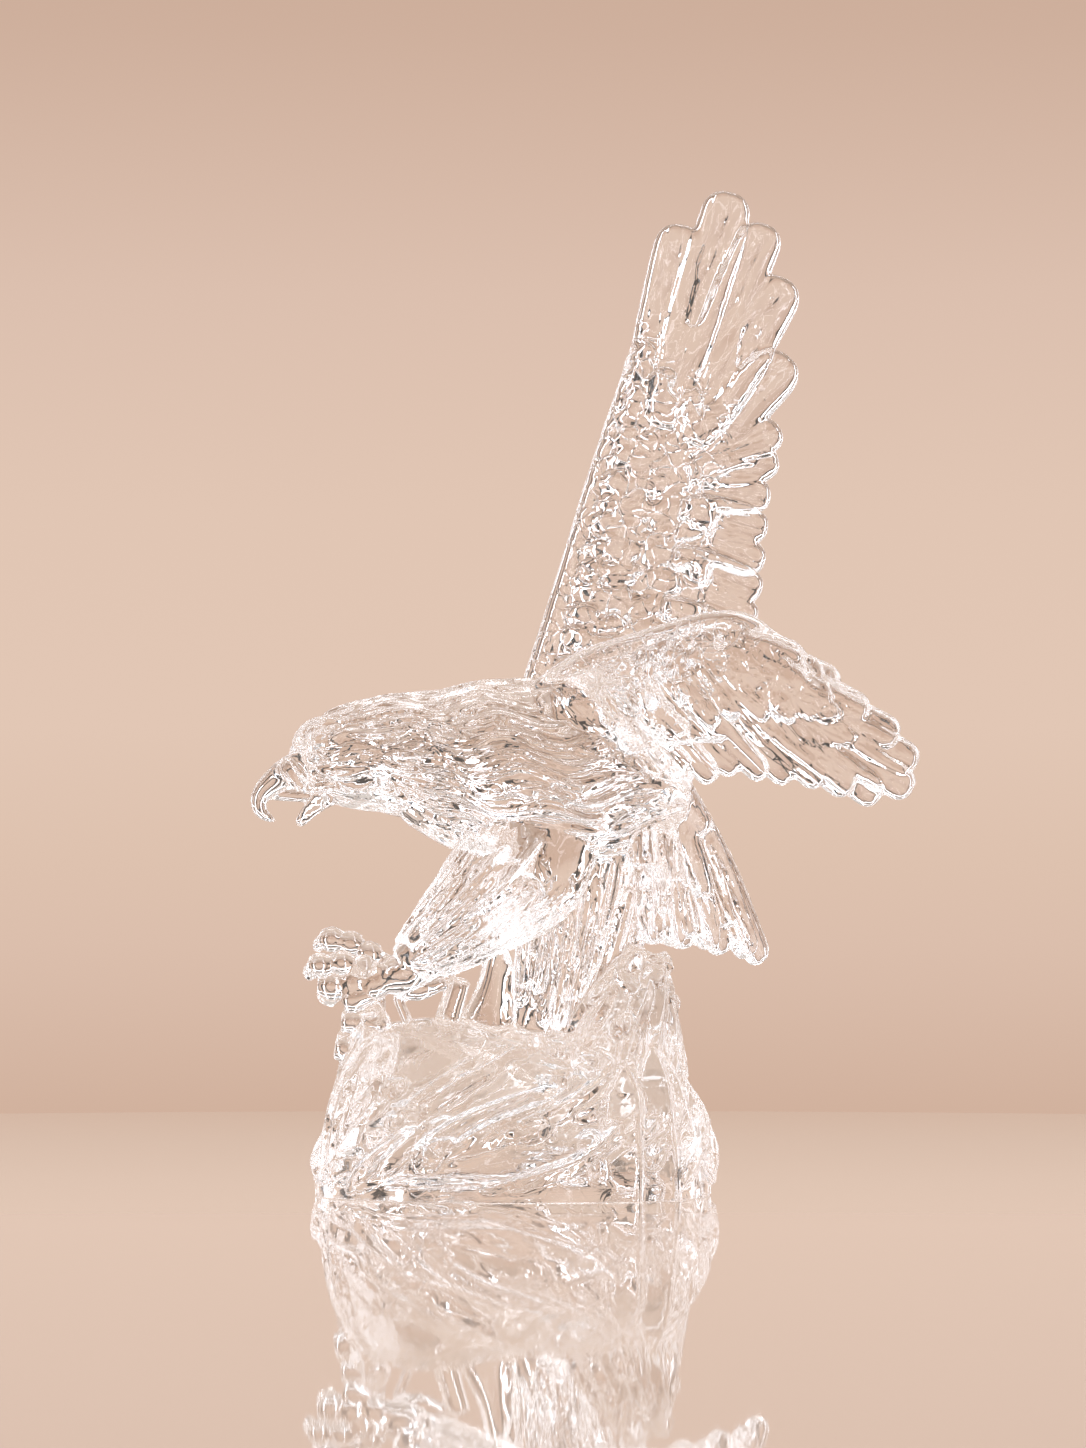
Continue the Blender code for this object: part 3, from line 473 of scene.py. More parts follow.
# %% Draw the near wing
NEAR_WING = (
    ((2.0, -4.0, 114.0), (24.0, -8.0, 96.0)),
    ((11.0, -10.0, 121.6), (33.0, -15.0, 101.0)),
    ((20.0, -15.0, 126.6), (41.5, -20.5, 102.0)),
    ((29.2, -21.0, 129.0), (52.0, -28.5, 102.5)),
    ((38.4, -28.0, 132.0), (61.0, -35.0, 103.0)),
    ((47.2, -34.5, 133.8), (72.0, -43.0, 100.0)),
    ((53.0, -38.5, 133.0), (82.0, -48.0, 99.5)),
    ((57.4, -41.0, 130.2), (84.0, -49.5, 103.5)),
    ((61.8, -43.0, 126.6), (80.0, -49.0, 109.0)),
    ((65.2, -45.0, 123.0), (75.0, -48.0, 115.0)),
)
NEAR_PRIMARIES = (
    ((45.0, -32.0, 122.0), (77.5, -44.5, 94.2), 4.2),
    ((46.0, -33.0, 123.0), (84.2, -47.5, 92.4), 4.2),
    ((47.0, -34.0, 124.0), (90.8, -50.5, 94.0), 4.4),
    ((48.5, -35.0, 125.0), (92.4, -52.0, 100.2), 4.2),
    ((50.0, -36.0, 126.0), (87.6, -51.0, 106.2), 4.0),
    ((51.5, -37.0, 127.0), (81.4, -50.0, 111.8), 4.0),
    ((53.0, -38.0, 128.0), (74.2, -48.0, 118.0), 3.9),
    ((54.0, -38.5, 129.5), (67.0, -46.0, 123.8), 3.6),
)
NEAR_SECONDARIES = (
    ((22.0, -13.0, 116.0), (35.5, -16.5, 99.0), 3.6),
    ((26.0, -15.5, 117.0), (41.2, -19.5, 98.0), 3.7),
    ((30.0, -18.5, 118.0), (46.8, -22.5, 96.6), 3.8),
    ((35.0, -22.5, 119.0), (52.6, -26.5, 98.8), 3.8),
    ((39.0, -25.5, 120.0), (58.4, -30.5, 97.4), 3.9),
    ((42.0, -28.5, 121.0), (64.8, -36.0, 97.0), 4.1),
    ((44.0, -30.5, 122.0), (71.0, -40.5, 95.8), 4.1),
)


# %% Bend a sheet through a wing's lines
class WingSheet:
    """A wing's middle surface. Span runs from the body to the wing's end, chord from its leading edge."""

    def __init__(self, lines, camber, reach):
        self.leading = [at(*line[0]) for line in lines]
        self.trailing = [at(*line[1]) for line in lines]
        self.camber = camber * MM
        self.reach = reach
        self.length = (self.leading[-1] - self.leading[0]).length

    def flat(self, span, chord):
        return spline(self.leading, span).lerp(spline(self.trailing, span), chord)

    def face(self, span, chord):
        """The way that the surface faces on its near side."""
        step = 0.04
        along = self.flat(min(span + step, 1.0), chord) - self.flat(max(span - step, 0.0), chord)
        across = self.flat(span, min(chord + step, 1.0)) - self.flat(span, max(chord - step, 0.0))
        normal = along.cross(across).normalized()
        return normal if normal.y < 0 else -normal

    def at(self, span, chord):
        swell = 4 * chord * (1 - chord) * self.camber
        return self.flat(span, chord) + self.face(span, chord) * swell

    def thickness(self, span):
        return WING_ROOT_THICKNESS + (WING_EDGE_THICKNESS - WING_ROOT_THICKNESS) * span


# %% Find places on a wing's skin
def wing_skin(sheet, span, chord, side):
    """A place on a wing's skin, on its near side for 1 and its far side for -1."""
    off_middle = min(abs(2 * chord / sheet.reach - 1), 1)
    half = sheet.thickness(span) / 2 * math.sqrt(1 - off_middle ** 3)
    return sheet.at(span, chord) + sheet.face(span, chord) * side * half


def wing_walk(sheet, span, chord, angle, distance):
    """The span and chord reached by going a distance, at an angle from the chord's direction."""
    turn = math.radians(angle)
    width = (sheet.flat(span, 1.0) - sheet.flat(span, 0.0)).length
    end = span + distance * math.sin(turn) / sheet.length
    return end, chord + distance * math.cos(turn) / width


def press_membrane(sheet, end):
    """Presses in the glass between the feathers, up to a share of the span."""

    def station(share):
        span = end * share
        front, back = sheet.at(span, 0.0), sheet.at(span, sheet.reach)
        facing = sheet.face(span, sheet.reach / 2)
        half = sheet.thickness(span) / 2 * (1 - share ** 3)
        return sheet.at(span, sheet.reach / 2), (back - front) / 2, facing * half

    press_sphere(station, rings=36, sides=28, squareness=0.8)


# %% [markdown]
# ## Long feathers
# The wing's long feathers end the sheet in round fingers. In glass each is a clear flat leaf with a
# rounded edge, and that edge is what catches the light as a white outline. A low squareness gives the flat
# face and the narrow round edge at once. The feathers lie close enough to cover each other's edges, so only
# their ends stand free. The shaft is a broken line of fine dashes on both faces, where the wax tool lifted,
# and a long wavy line runs on each side of it on the near face.


# %% Press in a blade
def press_blade(root, tip, half_width, root_thickness, thickness, face, bow=0.0, shaft=0.75):
    """Presses in a long flat feather with a round tip. It bows along face by a share of its length."""
    length = (tip - root).length
    path = [root, root.lerp(tip, 0.5) + face * bow * length, tip]
    turn_in = min(1.35 * half_width / length, 0.5)

    def width(share):
        full = half_width * spline((0.5, 0.76, 0.93, 1.0, 1.0, 0.99, 0.96, 0.94), share)
        past = max(share - (1 - turn_in), 0.0) / turn_in
        return full * math.sqrt(max(1 - past ** 2.1, 0.0))

    def depth(share):
        full = (root_thickness + (thickness - root_thickness) * share) / 2
        past = max(share - (1 - thickness / 2 / length), 0.0) / (thickness / 2 / length)
        return full * math.sqrt(max(1 - past ** 2, 0.09)) * 0.92

    press_form(path, width, depth, face, rings=36, sides=24, squareness=0.5)
    leave_grain(path, face, depth=0.6)
    across = (tip - root).cross(face).normalized()
    for side in (1, -1):
        for start in (0.30, 0.46, 0.62, 0.78):
            line = []
            for step in (0.0, 0.33, 0.66, 1.0):
                share = start + step * 0.12
                off = across * fine.uniform(-0.5, 0.5) * MM
                line.append(spline(path, share) + face * side * depth(share) * 0.9 + off)
            press_ridge(line, shaft, face)
    for place in (-0.45, 0.45):
        line = []
        for share in (0.22, 0.38, 0.54, 0.70, 0.86):
            off = across * (place * width(share) + fine.uniform(-0.35, 0.35) * MM)
            line.append(spline(path, share) + face * depth(share) * 0.9 + off)
        press_ridge(line, shaft, face, rings=16)


def press_long_feathers(feathers, sheet, face, stagger, shaft):
    """Presses in the long feathers of a wing, every second one a step forward."""
    for n, (root, tip, half_width) in enumerate(feathers):
        step = face * (stagger * (n % 2 - 0.5) * FEATHER_THICKNESS)
        press_blade(at(*root) + step, at(*tip) + step, half_width * MM, sheet.thickness(0.5) * 1.25,
                    FEATHER_THICKNESS, face, 0.01, shaft)


# %% [markdown]
# ## Small feathers on the wings
# Rows of small feathers cover the front of each wing. They lie like tiles, each one's tip a little off the
# skin. They are pressed on to both faces, because glass shows the relief of its far side as clearly as
# that of its near side. The net of fine wrinkles is kept to the near face, or two nets would show at once.


# %% Press in rows of small feathers
def press_coverts(sheet, rows, direction, net):
    """Presses rows of small overlapping feathers on to both sides of a wing."""
    for side in (1, -1):
        for chord, first, last, count, length, half_width in rows:
            for n in range(count):
                span = first + (last - first) * (n + 0.5 + rng.uniform(-0.15, 0.15)) / count
                start = chord + rng.uniform(-0.02, 0.02)
                angle = direction(span, start) + rng.uniform(-6, 6)
                end_span, end = wing_walk(sheet, span, start, angle, length * MM)
                tip = (min(max(end_span, 0.0), 1.0), end)
                press_covert(sheet, side, (span, start), tip, half_width * MM, max(net * side, 0.0))


def press_covert(sheet, side, start, end, half_width, net):
    """Presses in one small feather between two places on a wing."""
    face = sheet.face(*end) * side
    root = wing_skin(sheet, *start, side) - face * PLUMAGE_RELIEF * 0.5
    tip = wing_skin(sheet, *end, side) + face * PLUMAGE_RELIEF * 0.5
    path = [root, root.lerp(tip, 0.5) + face * 0.06 * (tip - root).length, tip]
    widths = [half_width * share for share in (0.5, 0.78, 0.95, 1.0, 1.0, 0.98, 0.90, 0.56)]
    depths = [PLUMAGE_RELIEF * share for share in (0.3, 0.35, 0.4, 0.4, 0.35)]
    press_form(path, widths, depths, face, rings=12, sides=12, squareness=0.8)
    leave_grain(path, face, depth=0.0, net=net)


# %% Press in curls between the small feathers
def press_curls(sheet, side, count, first, last, deepest):
    """Presses short wavy lines on to one side of a wing, where the mould folded its small feathers."""
    for n in range(count):
        span, chord = fine.uniform(first, last), fine.uniform(0.03, deepest)
        angle, sway = fine.uniform(-70, 110), fine.uniform(-55, 55)
        places = [wing_skin(sheet, span, chord, side)]
        for step in range(4):
            distance = fine.uniform(1.4, 2.6) * MM
            span, chord = wing_walk(sheet, span, chord, angle + sway * (step - 1), distance)
            span, chord = min(max(span, 0.0), 1.0), min(max(chord, 0.0), deepest + 0.1)
            places.append(wing_skin(sheet, span, chord, side))
        face = sheet.face(span, chord) * side
        line = [place + face * (PLUMAGE_RELIEF / 2) for place in places]
        press_ridge(line, fine.uniform(0.45, 0.75), face, rings=10)


# %% Build the far wing
far_sheet = WingSheet(FAR_WING, camber=-2.0, reach=0.80)
press_membrane(far_sheet, 0.9)
press_form([far_sheet.at(n / 10, 0.02) for n in range(11)], drawn(3.4, 2.6, 2.2, 1.3),
           drawn(3.2, 2.6, 2.0, 1.5), SIDEWAYS, rings=36, sides=16)
far_face = far_sheet.face(0.8, 0.5)
press_long_feathers(FAR_PRIMARIES, far_sheet, far_face, 0.5, 0.5)
press_long_feathers(FAR_SECONDARIES, far_sheet, far_face, 0.5, 0.5)
FAR_COVERT_ROWS = (  # chord, first and last span, count, length, half width
    (0.52, 0.06, 0.64, 13, 12.0, 3.1),
    (0.34, 0.06, 0.70, 14, 12.0, 3.1),
    (0.16, 0.06, 0.74, 15, 11.0, 3.0),
    (0.02, 0.06, 0.80, 16, 10.0, 2.8),
)
press_coverts(far_sheet, FAR_COVERT_ROWS, lambda span, chord: -30 + 80 * span + 35 * (1 - chord), 1.0)
for side in (1, -1):
    press_curls(far_sheet, side, 80, 0.05, 0.72, 0.74)
print("forms pressed so far:", pressed["forms"])

# %% [markdown]
# ## The near wing
# The near wing sweeps back towards the viewer. Its upper third is rough with small feathers, and below them
# long fine lines fan out to the trailing edge. Those lines are one ridge each, laid at an almost constant
# span, which on this sheet is the way that its feathers run.


# %% Build the near wing
def press_fan_lines(sheet, count, first_chord, last_chord, size):
    """Presses fine lines on to both sides of a wing, fanning out to its trailing edge."""
    for side in (1, -1):
        for n in range(count):
            span = 0.03 + 0.94 * (n + fine.uniform(-0.3, 0.3)) / count
            chords = [first_chord + (last_chord - first_chord) * step for step in (0.0, 0.33, 0.66, 1.0)]
            face = sheet.face(span, 0.6) * side
            line = [wing_skin(sheet, span + fine.uniform(-0.006, 0.006), chord, side) for chord in chords]
            press_ridge(line, size, face, rings=12)
            leave_grain(line, face, depth=0.8)


shoulder = [at(4.0, -6.0, 106.0), at(13.0, -10.0, 111.0), at(22.0, -14.5, 114.6), at(31.0, -20.0, 117.0)]
press_form(shoulder, drawn(10.0, 10.0, 9.0, 7.0), drawn(8.0, 7.0, 5.0, 3.0), SIDEWAYS, rings=20, sides=20)
near_sheet = WingSheet(NEAR_WING, camber=2.0, reach=0.84)
press_membrane(near_sheet, 0.99)
press_form([near_sheet.at(n / 10, 0.02) for n in range(11)], drawn(3.4, 3.0, 2.8, 1.8),
           drawn(3.4, 2.8, 2.4, 1.6), SIDEWAYS, rings=32, sides=16)
press_long_feathers(NEAR_PRIMARIES, near_sheet, near_sheet.face(0.65, 0.6), 0.5, 0.5)
press_long_feathers(NEAR_SECONDARIES, near_sheet, near_sheet.face(0.3, 0.6), 0.5, 0.45)
NEAR_COVERT_ROWS = (
    (0.34, 0.04, 0.98, 13, 13.0, 2.6),
    (0.20, 0.04, 0.98, 13, 10.0, 2.5),
    (0.08, 0.04, 0.98, 12, 8.0, 2.5),
)
press_coverts(near_sheet, NEAR_COVERT_ROWS, lambda span, chord: 4, 0.5)
NEAR_EDGE_ROWS = ((0.0, 0.03, 0.98, 22, 6.0, 1.9),)
press_coverts(near_sheet, NEAR_EDGE_ROWS, lambda span, chord: 20, 0.7)
press_fan_lines(near_sheet, 34, 0.30, 0.83, 0.6)
for side in (1, -1):
    press_curls(near_sheet, side, 90, 0.04, 0.96, 0.26)
print("forms pressed so far:", pressed["forms"])

# %% [markdown]
# ## The tail
# The tail is a fan of blades that hang down behind the eagle, each partly over the next. A thin form
# behind them fills the gaps, as the glass does.

# %% Build the tail
TAIL_FEATHERS = (
    ((39.0, 5.0, 98.0), (60.0, 13.0, 54.0), 4.3),
    ((37.8, 3.5, 97.5), (55.2, 9.0, 55.0), 4.4),
    ((36.6, 2.0, 97.0), (50.4, 4.6, 56.2), 4.4),
    ((35.4, 0.5, 96.5), (45.6, 0.0, 57.0), 4.4),
    ((34.0, -1.5, 96.0), (41.0, -4.6, 57.6), 4.4),
    ((32.4, -3.5, 95.5), (36.8, -9.2, 57.8), 4.4),
    ((30.6, -5.5, 95.0), (33.4, -13.4, 58.8), 4.2),
)
tail_face = Vector((0.70, -0.70, 0.17)).normalized()


def press_tail_feather(n, root, tip, half_width):
    """Presses in one tail feather, with a short feather over its root on both faces."""
    step = tail_face * ((n % 2 - 0.5) * FEATHER_THICKNESS * 0.8)
    start, end = at(*root) + step, at(*tip) + step
    thickness = FEATHER_THICKNESS
    press_blade(start, end, half_width * MM, thickness * 1.6, thickness, tail_face, 0.03, 0.6)
    for side in (1, -1):
        lift = tail_face * side * FEATHER_THICKNESS * 0.7
        over = start.lerp(end, 0.30 + 0.09 * (n * 2 % 5)) + lift
        path = [start, start.lerp(over, 0.5) + tail_face * side * 0.05 * (over - start).length, over]
        widths = [half_width * MM * share for share in (0.45, 0.7, 0.84, 0.85, 0.8, 0.5)]
        depths = [FEATHER_THICKNESS * share for share in (0.45, 0.45, 0.4, 0.33)]
        press_form(path, widths, depths, tail_face * side, rings=14, sides=12)
        leave_grain(path, tail_face * side, depth=0.3, barbed=True)


def press_tail_lines(count):
    """Presses fine lines down both faces of the tail."""
    first, last = TAIL_FEATHERS[0], TAIL_FEATHERS[-1]
    for side in (1, -1):
        for n in range(count):
            share = (n + 0.5) / count
            root, tip = at(*first[0]).lerp(at(*last[0]), share), at(*first[1]).lerp(at(*last[1]), share)
            off = tail_face * side * FEATHER_THICKNESS * 0.85
            line = [root.lerp(tip, step) + off for step in (0.35, 0.55, 0.75, 0.9)]
            press_ridge(line, 0.4, tail_face, rings=10)


for n, (root, tip, half_width) in enumerate(TAIL_FEATHERS):
    press_tail_feather(n, root, tip, half_width)
backing = [at(32.0, -1.0, 99.0), at(37.0, -1.0, 88.0), at(42.0, 0.0, 75.0), at(46.0, 0.0, 62.0)]
press_form(backing, drawn(7.0, 10.0, 14.0, 17.0), drawn(6.0, 4.6, 2.4, 1.2), tail_face, rings=20, sides=20)
press_tail_lines(10)
print("forms pressed so far:", pressed["forms"])

# %% [markdown]
# ## Legs and vent
# A thigh is a tapering form, wrapped in locks that turn round it on the golden angle, 0.382 of a turn from
# one to the next. That spreads any number of locks evenly with no rows to be seen. The vent feathers behind
# the thighs hang right down to the crag and are laid in the same way.

# %% Draw the thighs and the vent
NEAR_THIGH = (
    (11.0, -6.0, 90.0, 12.0, 10.0),
    (4.0, -9.5, 79.0, 14.4, 10.6),
    (-5.0, -12.5, 70.0, 12.2, 9.6),
    (-13.4, -13.8, 62.8, 9.2, 8.0),
    (-20.4, -14.2, 57.6, 6.6, 6.4),
    (-26.0, -14.4, 54.0, 4.4, 4.8),
)
FAR_THIGH = (
    (15.0, 7.0, 88.0, 15.0, 10.0),
    (12.6, 8.5, 74.0, 13.6, 10.0),
    (10.4, 8.5, 60.0, 11.4, 8.6),
    (7.4, 7.5, 47.0, 8.4, 6.6),
    (4.4, 6.5, 37.0, 5.4, 5.2),
)
VENT = (
    (24.0, 1.0, 94.0, 12.0, 10.0),
    (24.0, 2.0, 80.0, 11.6, 8.6),
    (21.6, 3.0, 66.0, 10.0, 7.4),
    (18.6, 3.0, 53.0, 8.6, 6.4),
    (15.6, 2.0, 41.0, 7.4, 5.8),
    (13.6, 2.0, 32.0, 6.4, 5.4),
)


# %% Build the feathered legs
GOLDEN_TURN = 0.382


def press_leg(rows, count, length):
    """Presses in a thigh, with locks of feathers down its sides."""
    press_rows(rows, 26, 24)
    path, heights, widths = split_rows(rows)
    for n in range(count):
        turn = 2 * math.pi * (n * GOLDEN_TURN + rng.uniform(-0.02, 0.02))
        start = 0.10 + (0.86 - length) * n / count
        points = []
        for step in (0.0, 0.33, 0.66, 1.0):
            share = start + length * step
            ahead = (spline(path, share + 0.02) - spline(path, share - 0.02)).normalized()
            across = ahead.cross(SIDEWAYS).normalized()
            upward = across * math.cos(turn) * spline(heights, share)
            out = upward + SIDEWAYS * math.sin(turn) * spline(widths, share)
            points.append(spline(path, share) + out * (1.0 + 0.06 * step))
        face = (points[2] - spline(path, start + length * 0.66)).normalized()
        press_lock(points, 2.6, face)


press_leg(NEAR_THIGH, 26, 0.42)
press_leg(FAR_THIGH, 26, 0.36)
press_leg(VENT, 24, 0.36)
print("forms pressed so far:", pressed["forms"])

# %% [markdown]
# ## Feet
# The near foot reaches forward with its toes spread, and the far foot grips the crag. A toe is a smooth
# finger with a round swelling at each joint and a hooked claw. Real toes have scales too, but glass this
# small melts them away. Feet are polished by the fire, so their marks say that no feather lines run there.

# %% Draw the toes
NEAR_TOES = (  # places along the toe, radius, places along the claw
    (((-27.0, -12.0, 53.0), (-33.6, -10.5, 56.4), (-38.0, -9.0, 58.8), (-42.6, -8.0, 59.8)), 2.3,
     ((-45.4, -8.0, 58.6), (-46.2, -8.0, 56.8))),
    (((-27.0, -15.0, 51.4), (-35.0, -16.5, 53.6), (-40.0, -17.2, 54.6), (-45.0, -17.6, 54.0)), 2.2,
     ((-47.4, -17.8, 52.4), (-46.8, -17.8, 50.4))),
    (((-26.0, -14.0, 49.6), (-32.0, -14.0, 49.8), (-37.5, -13.6, 49.8), (-42.4, -13.2, 49.0)), 2.8,
     ((-43.8, -13.0, 46.8), (-41.6, -12.4, 44.6))),
)
FAR_TOES = (
    (((4.0, 5.0, 36.0), (-2.0, 2.0, 36.6), (-8.0, 0.0, 34.6), (-13.0, -1.0, 31.6)), 2.3,
     ((-16.0, -1.6, 29.0), (-17.4, -2.0, 26.0))),
    (((4.0, 5.0, 36.0), (-1.0, -3.0, 35.6), (-5.0, -9.0, 33.0), (-8.0, -13.0, 30.0)), 2.2,
     ((-10.0, -15.6, 27.4), (-11.0, -16.6, 24.4))),
    (((4.0, 6.0, 36.0), (0.0, 12.0, 35.6), (-5.0, 15.0, 33.4), (-9.0, 17.0, 30.0)), 2.2,
     ((-11.4, 18.6, 27.4), (-12.4, 19.0, 24.0))),
    (((5.0, 6.0, 36.0), (9.0, 6.0, 35.4), (13.0, 4.0, 33.8), (16.0, 1.0, 31.0)), 2.2,
     ((17.4, -2.0, 28.6), (18.0, -4.0, 25.4))),
)


# %% Press in a toe
def press_toe(points, radius, claw):
    """Presses in a toe with a knuckle at each joint and a hooked claw."""
    path = [at(*point) for point in points]
    size = radius * MM
    press_form(path, [size * 0.9] * len(path), [size * 0.85] * len(path), SIDEWAYS, rings=18, sides=12)
    for place in path[1:]:
        reach = Vector((size * 1.2, 0, 0))
        press_form([place - reach, place, place + reach], [0.9 * size, 1.4 * size, 0.9 * size],
                   [0.9 * size, 1.3 * size, 0.9 * size], SIDEWAYS, rings=14, sides=14)
    hook = [path[-1]] + [at(*point) for point in claw]
    press_form(hook, [size, size * 0.85, size * 0.35], [size * 0.9, size * 0.7, size * 0.35], SIDEWAYS,
               rings=14, sides=10)
    leave_grain(path + hook[1:], SIDEWAYS, depth=0.0)


for points, radius, claw in NEAR_TOES + FAR_TOES:
    press_toe(points, radius, claw)
palm = [at(-18.0, -14.2, 55.4), at(-25.0, -14.0, 52.2), at(-30.5, -14.0, 50.4)]
press_form(palm, drawn(3.6, 5.2, 3.4), drawn(4.2, 4.8, 3.6), SIDEWAYS, rings=16, sides=14)
heel = [at(-28.0, -13.6, 48.4), at(-22.4, -13.2, 48.0), at(-16.0, -12.6, 50.0)]
press_form(heel, drawn(1.4, 2.6, 1.6), drawn(2.2, 3.2, 2.4), SIDEWAYS, rings=14, sides=12)
leave_grain(palm, SIDEWAYS, depth=0.0)
print("forms pressed so far:", pressed["forms"])

# %% [markdown]
# ## The crag
# The eagle lands on a rock with slanting beds, as slate or quartz has. The base below it is a slab with a
# polished rim. The mound is one wide form, and a bed is a splinter with five sides laid up the mound's
# skin. So few sides give it the facets of broken glass. Two taller rocks stand on the mound: a column under
# the raised foot, and a peak behind the legs.

# %% Draw the crag
MOUND = (  # height, shares of the base's length and depth, shift along
    (8.0, 0.975, 0.95, 0.0),
    (16.0, 0.92, 0.87, 0.6),
    (23.0, 0.84, 0.76, 0.8),
    (28.0, 0.76, 0.64, 1.0),
    (32.0, 0.64, 0.48, 2.0),
    (35.0, 0.36, 0.26, 3.0),
)
COLUMN = (
    (-36.0, -8.0, 2.0, 8.4, 16.0),
    (-35.4, -9.0, 14.0, 7.8, 13.0),
    (-34.0, -10.0, 25.0, 6.8, 10.0),
    (-32.4, -11.0, 32.0, 5.8, 7.4),
    (-31.4, -11.4, 37.0, 3.6, 4.2),
)
PEAK = (
    (25.4, -3.0, 2.0, 18.0, 26.0),
    (25.2, -3.0, 20.0, 16.4, 20.0),
    (25.4, -3.0, 33.0, 13.8, 14.6),
    (26.8, -2.5, 43.0, 10.6, 11.6),
    (28.8, -2.0, 50.5, 7.6, 8.6),
    (31.0, -2.0, 57.4, 3.6, 4.4),
)
EDGE_KNOBS = (  # start, end, radius
    ((-39.6, -11.5, 45.0), (-33.0, -12.0, 47.2), 3.1),
    ((-40.2, -11.0, 40.6), (-31.0, -11.5, 40.6), 2.7),
    ((-41.6, -10.0, 35.0), (-33.0, -10.5, 33.6), 3.4),
    ((-39.4, -9.0, 28.6), (-34.0, -9.5, 26.6), 3.9),
    ((-38.8, -8.6, 24.6), (-34.0, -9.5, 25.6), 2.6),
    ((-36.4, -15.0, 38.0), (-31.0, -12.0, 36.0), 3.0),
    ((-37.6, -15.6, 31.0), (-32.0, -12.0, 30.0), 3.3),
    ((-33.0, -16.0, 43.0), (-30.0, -12.0, 40.0), 2.6),
)
WEB = (  # the glass between the thighs and the crag
    (-1.0, 3.0, 74.0, 5.0, 4.0),
    (-2.4, 3.0, 60.0, 4.0, 3.4),
    (-4.4, 2.0, 48.0, 4.4, 3.0),
    (-6.4, 1.0, 38.0, 7.4, 3.0),
    (-7.0, 0.0, 31.0, 8.4, 3.6),
)
STRUTS = (  # start, end, radius
    ((-30.8, -12.0, 48.0), (-30.6, -11.4, 37.0), 0.9),
    ((-27.2, -13.0, 46.6), (-21.6, -9.0, 33.6), 1.2),
    ((-12.4, -12.0, 50.6), (-17.8, -7.0, 33.0), 2.7),
)


# %% Find a place on the mound
def crag_skin(turn, up):
    """A place on the mound's skin, at a turn about the upright axis and a height in millimetres."""
    rows = ((0.0, 1.0, 1.0, 0.0),) + MOUND
    above = next((n for n, row in enumerate(rows) if row[0] > up), len(rows) - 1)
    low, high = rows[above - 1], rows[above]
    share = (up - low[0]) / (high[0] - low[0])
    length, depth, shift = (low[n] + (high[n] - low[n]) * share for n in (1, 2, 3))
    x = math.copysign(abs(math.cos(turn)) ** 0.8, math.cos(turn)) * length * BASE_LENGTH / 2
    y = math.copysign(abs(math.sin(turn)) ** 0.8, math.sin(turn)) * depth * BASE_DEPTH / 2
    return Vector((x + shift * MM, y, up * MM))


# %% Press in the base, the mound and the tall rocks
def press_base():
    """Presses in the slab of the base and the mound above it."""
    low = Vector((0, 0, -UNDERSIDE_ALLOWANCE))
    rim = [low, Vector((0, 0, 0)), Vector((0, 0, RIM_HEIGHT)), Vector((0, 0, RIM_HEIGHT * 1.6))]
    lengths = [BASE_LENGTH / 2 * share for share in (1.0, 1.0, 1.0, 0.97)]
    depths = [BASE_DEPTH / 2 * share for share in (1.0, 1.0, 1.0, 0.96)]
    press_form(rim, lengths, depths, SIDEWAYS, rings=24, sides=96, squareness=0.8)
    path = [low] + [Vector((shift * MM, 0, up * MM)) for up, _, _, shift in MOUND]
    lengths = [BASE_LENGTH / 2 * share for share in [0.98] + [row[1] for row in MOUND]]
    depths = [BASE_DEPTH / 2 * share for share in [0.97] + [row[2] for row in MOUND]]
    press_form(path, lengths, depths, SIDEWAYS, rings=34, sides=72, squareness=0.8)


press_base()
press_rows(COLUMN, 22, 14)
press_rows(PEAK, 24, 14)
for start, end, radius in EDGE_KNOBS:
    press_form([at(*start), at(*start).lerp(at(*end), 0.3), at(*end)], drawn(radius, radius, radius * 0.8),
               drawn(radius, radius * 1.2, radius), SIDEWAYS, rings=14, sides=14)
for start, end, radius in STRUTS:
    press_form([at(*start), at(*end)], drawn(radius, radius * 1.3), drawn(radius, radius * 1.3), SIDEWAYS,
               rings=14, sides=12)
press_rows(WEB, 20, 16)
print("forms pressed so far:", pressed["forms"])


# %% Lay the slanting beds round the mound
def press_bed(n):
    """Presses in one slanting bed of the crag, with fine lines along it."""
    turn = 2 * math.pi * (n * GOLDEN_TURN + rng.uniform(-0.01, 0.01))
    rise = -0.7 * math.sin(turn)
    low = 1.0 + 17.0 * (n % 3) / 2
    high = min(low + rng.uniform(14.0, 22.0), 34.5)
    path = [crag_skin(turn + rise * step, low + (high - low) * step) for step in (0.0, 0.33, 0.66, 1.0)]
    path[0] = Vector((path[0].x * 0.97, path[0].y * 0.97, path[0].z))
    slope = UP * (0.4 + 0.25 * (n % 3))
    face = (Vector((path[1].x / BASE_LENGTH, path[1].y / BASE_DEPTH, 0.0)).normalized() + slope).normalized()
    thick = rng.uniform(1.5, 2.6)
    press_form(path, drawn(thick, thick * 1.3, thick * 1.1, thick * 0.4), drawn(1.6, 3.4, 3.2, 1.2), face,
               rings=14, sides=5)
    leave_grain(path, face, depth=0.3)
    across = (path[-1] - path[0]).cross(face).normalized()
    line = [point + face * 2.6 * MM + across * fine.uniform(-1.4, 1.4) * MM for point in path]
    press_ridge(line, 0.6, face)


def rock_side(heights, widths, share, turn):
    """The way from a tall rock's middle to its skin, at a share of its height and a turn about it."""
    return Vector((spline(heights, share) * math.cos(turn), spline(widths, share) * math.sin(turn), 0))


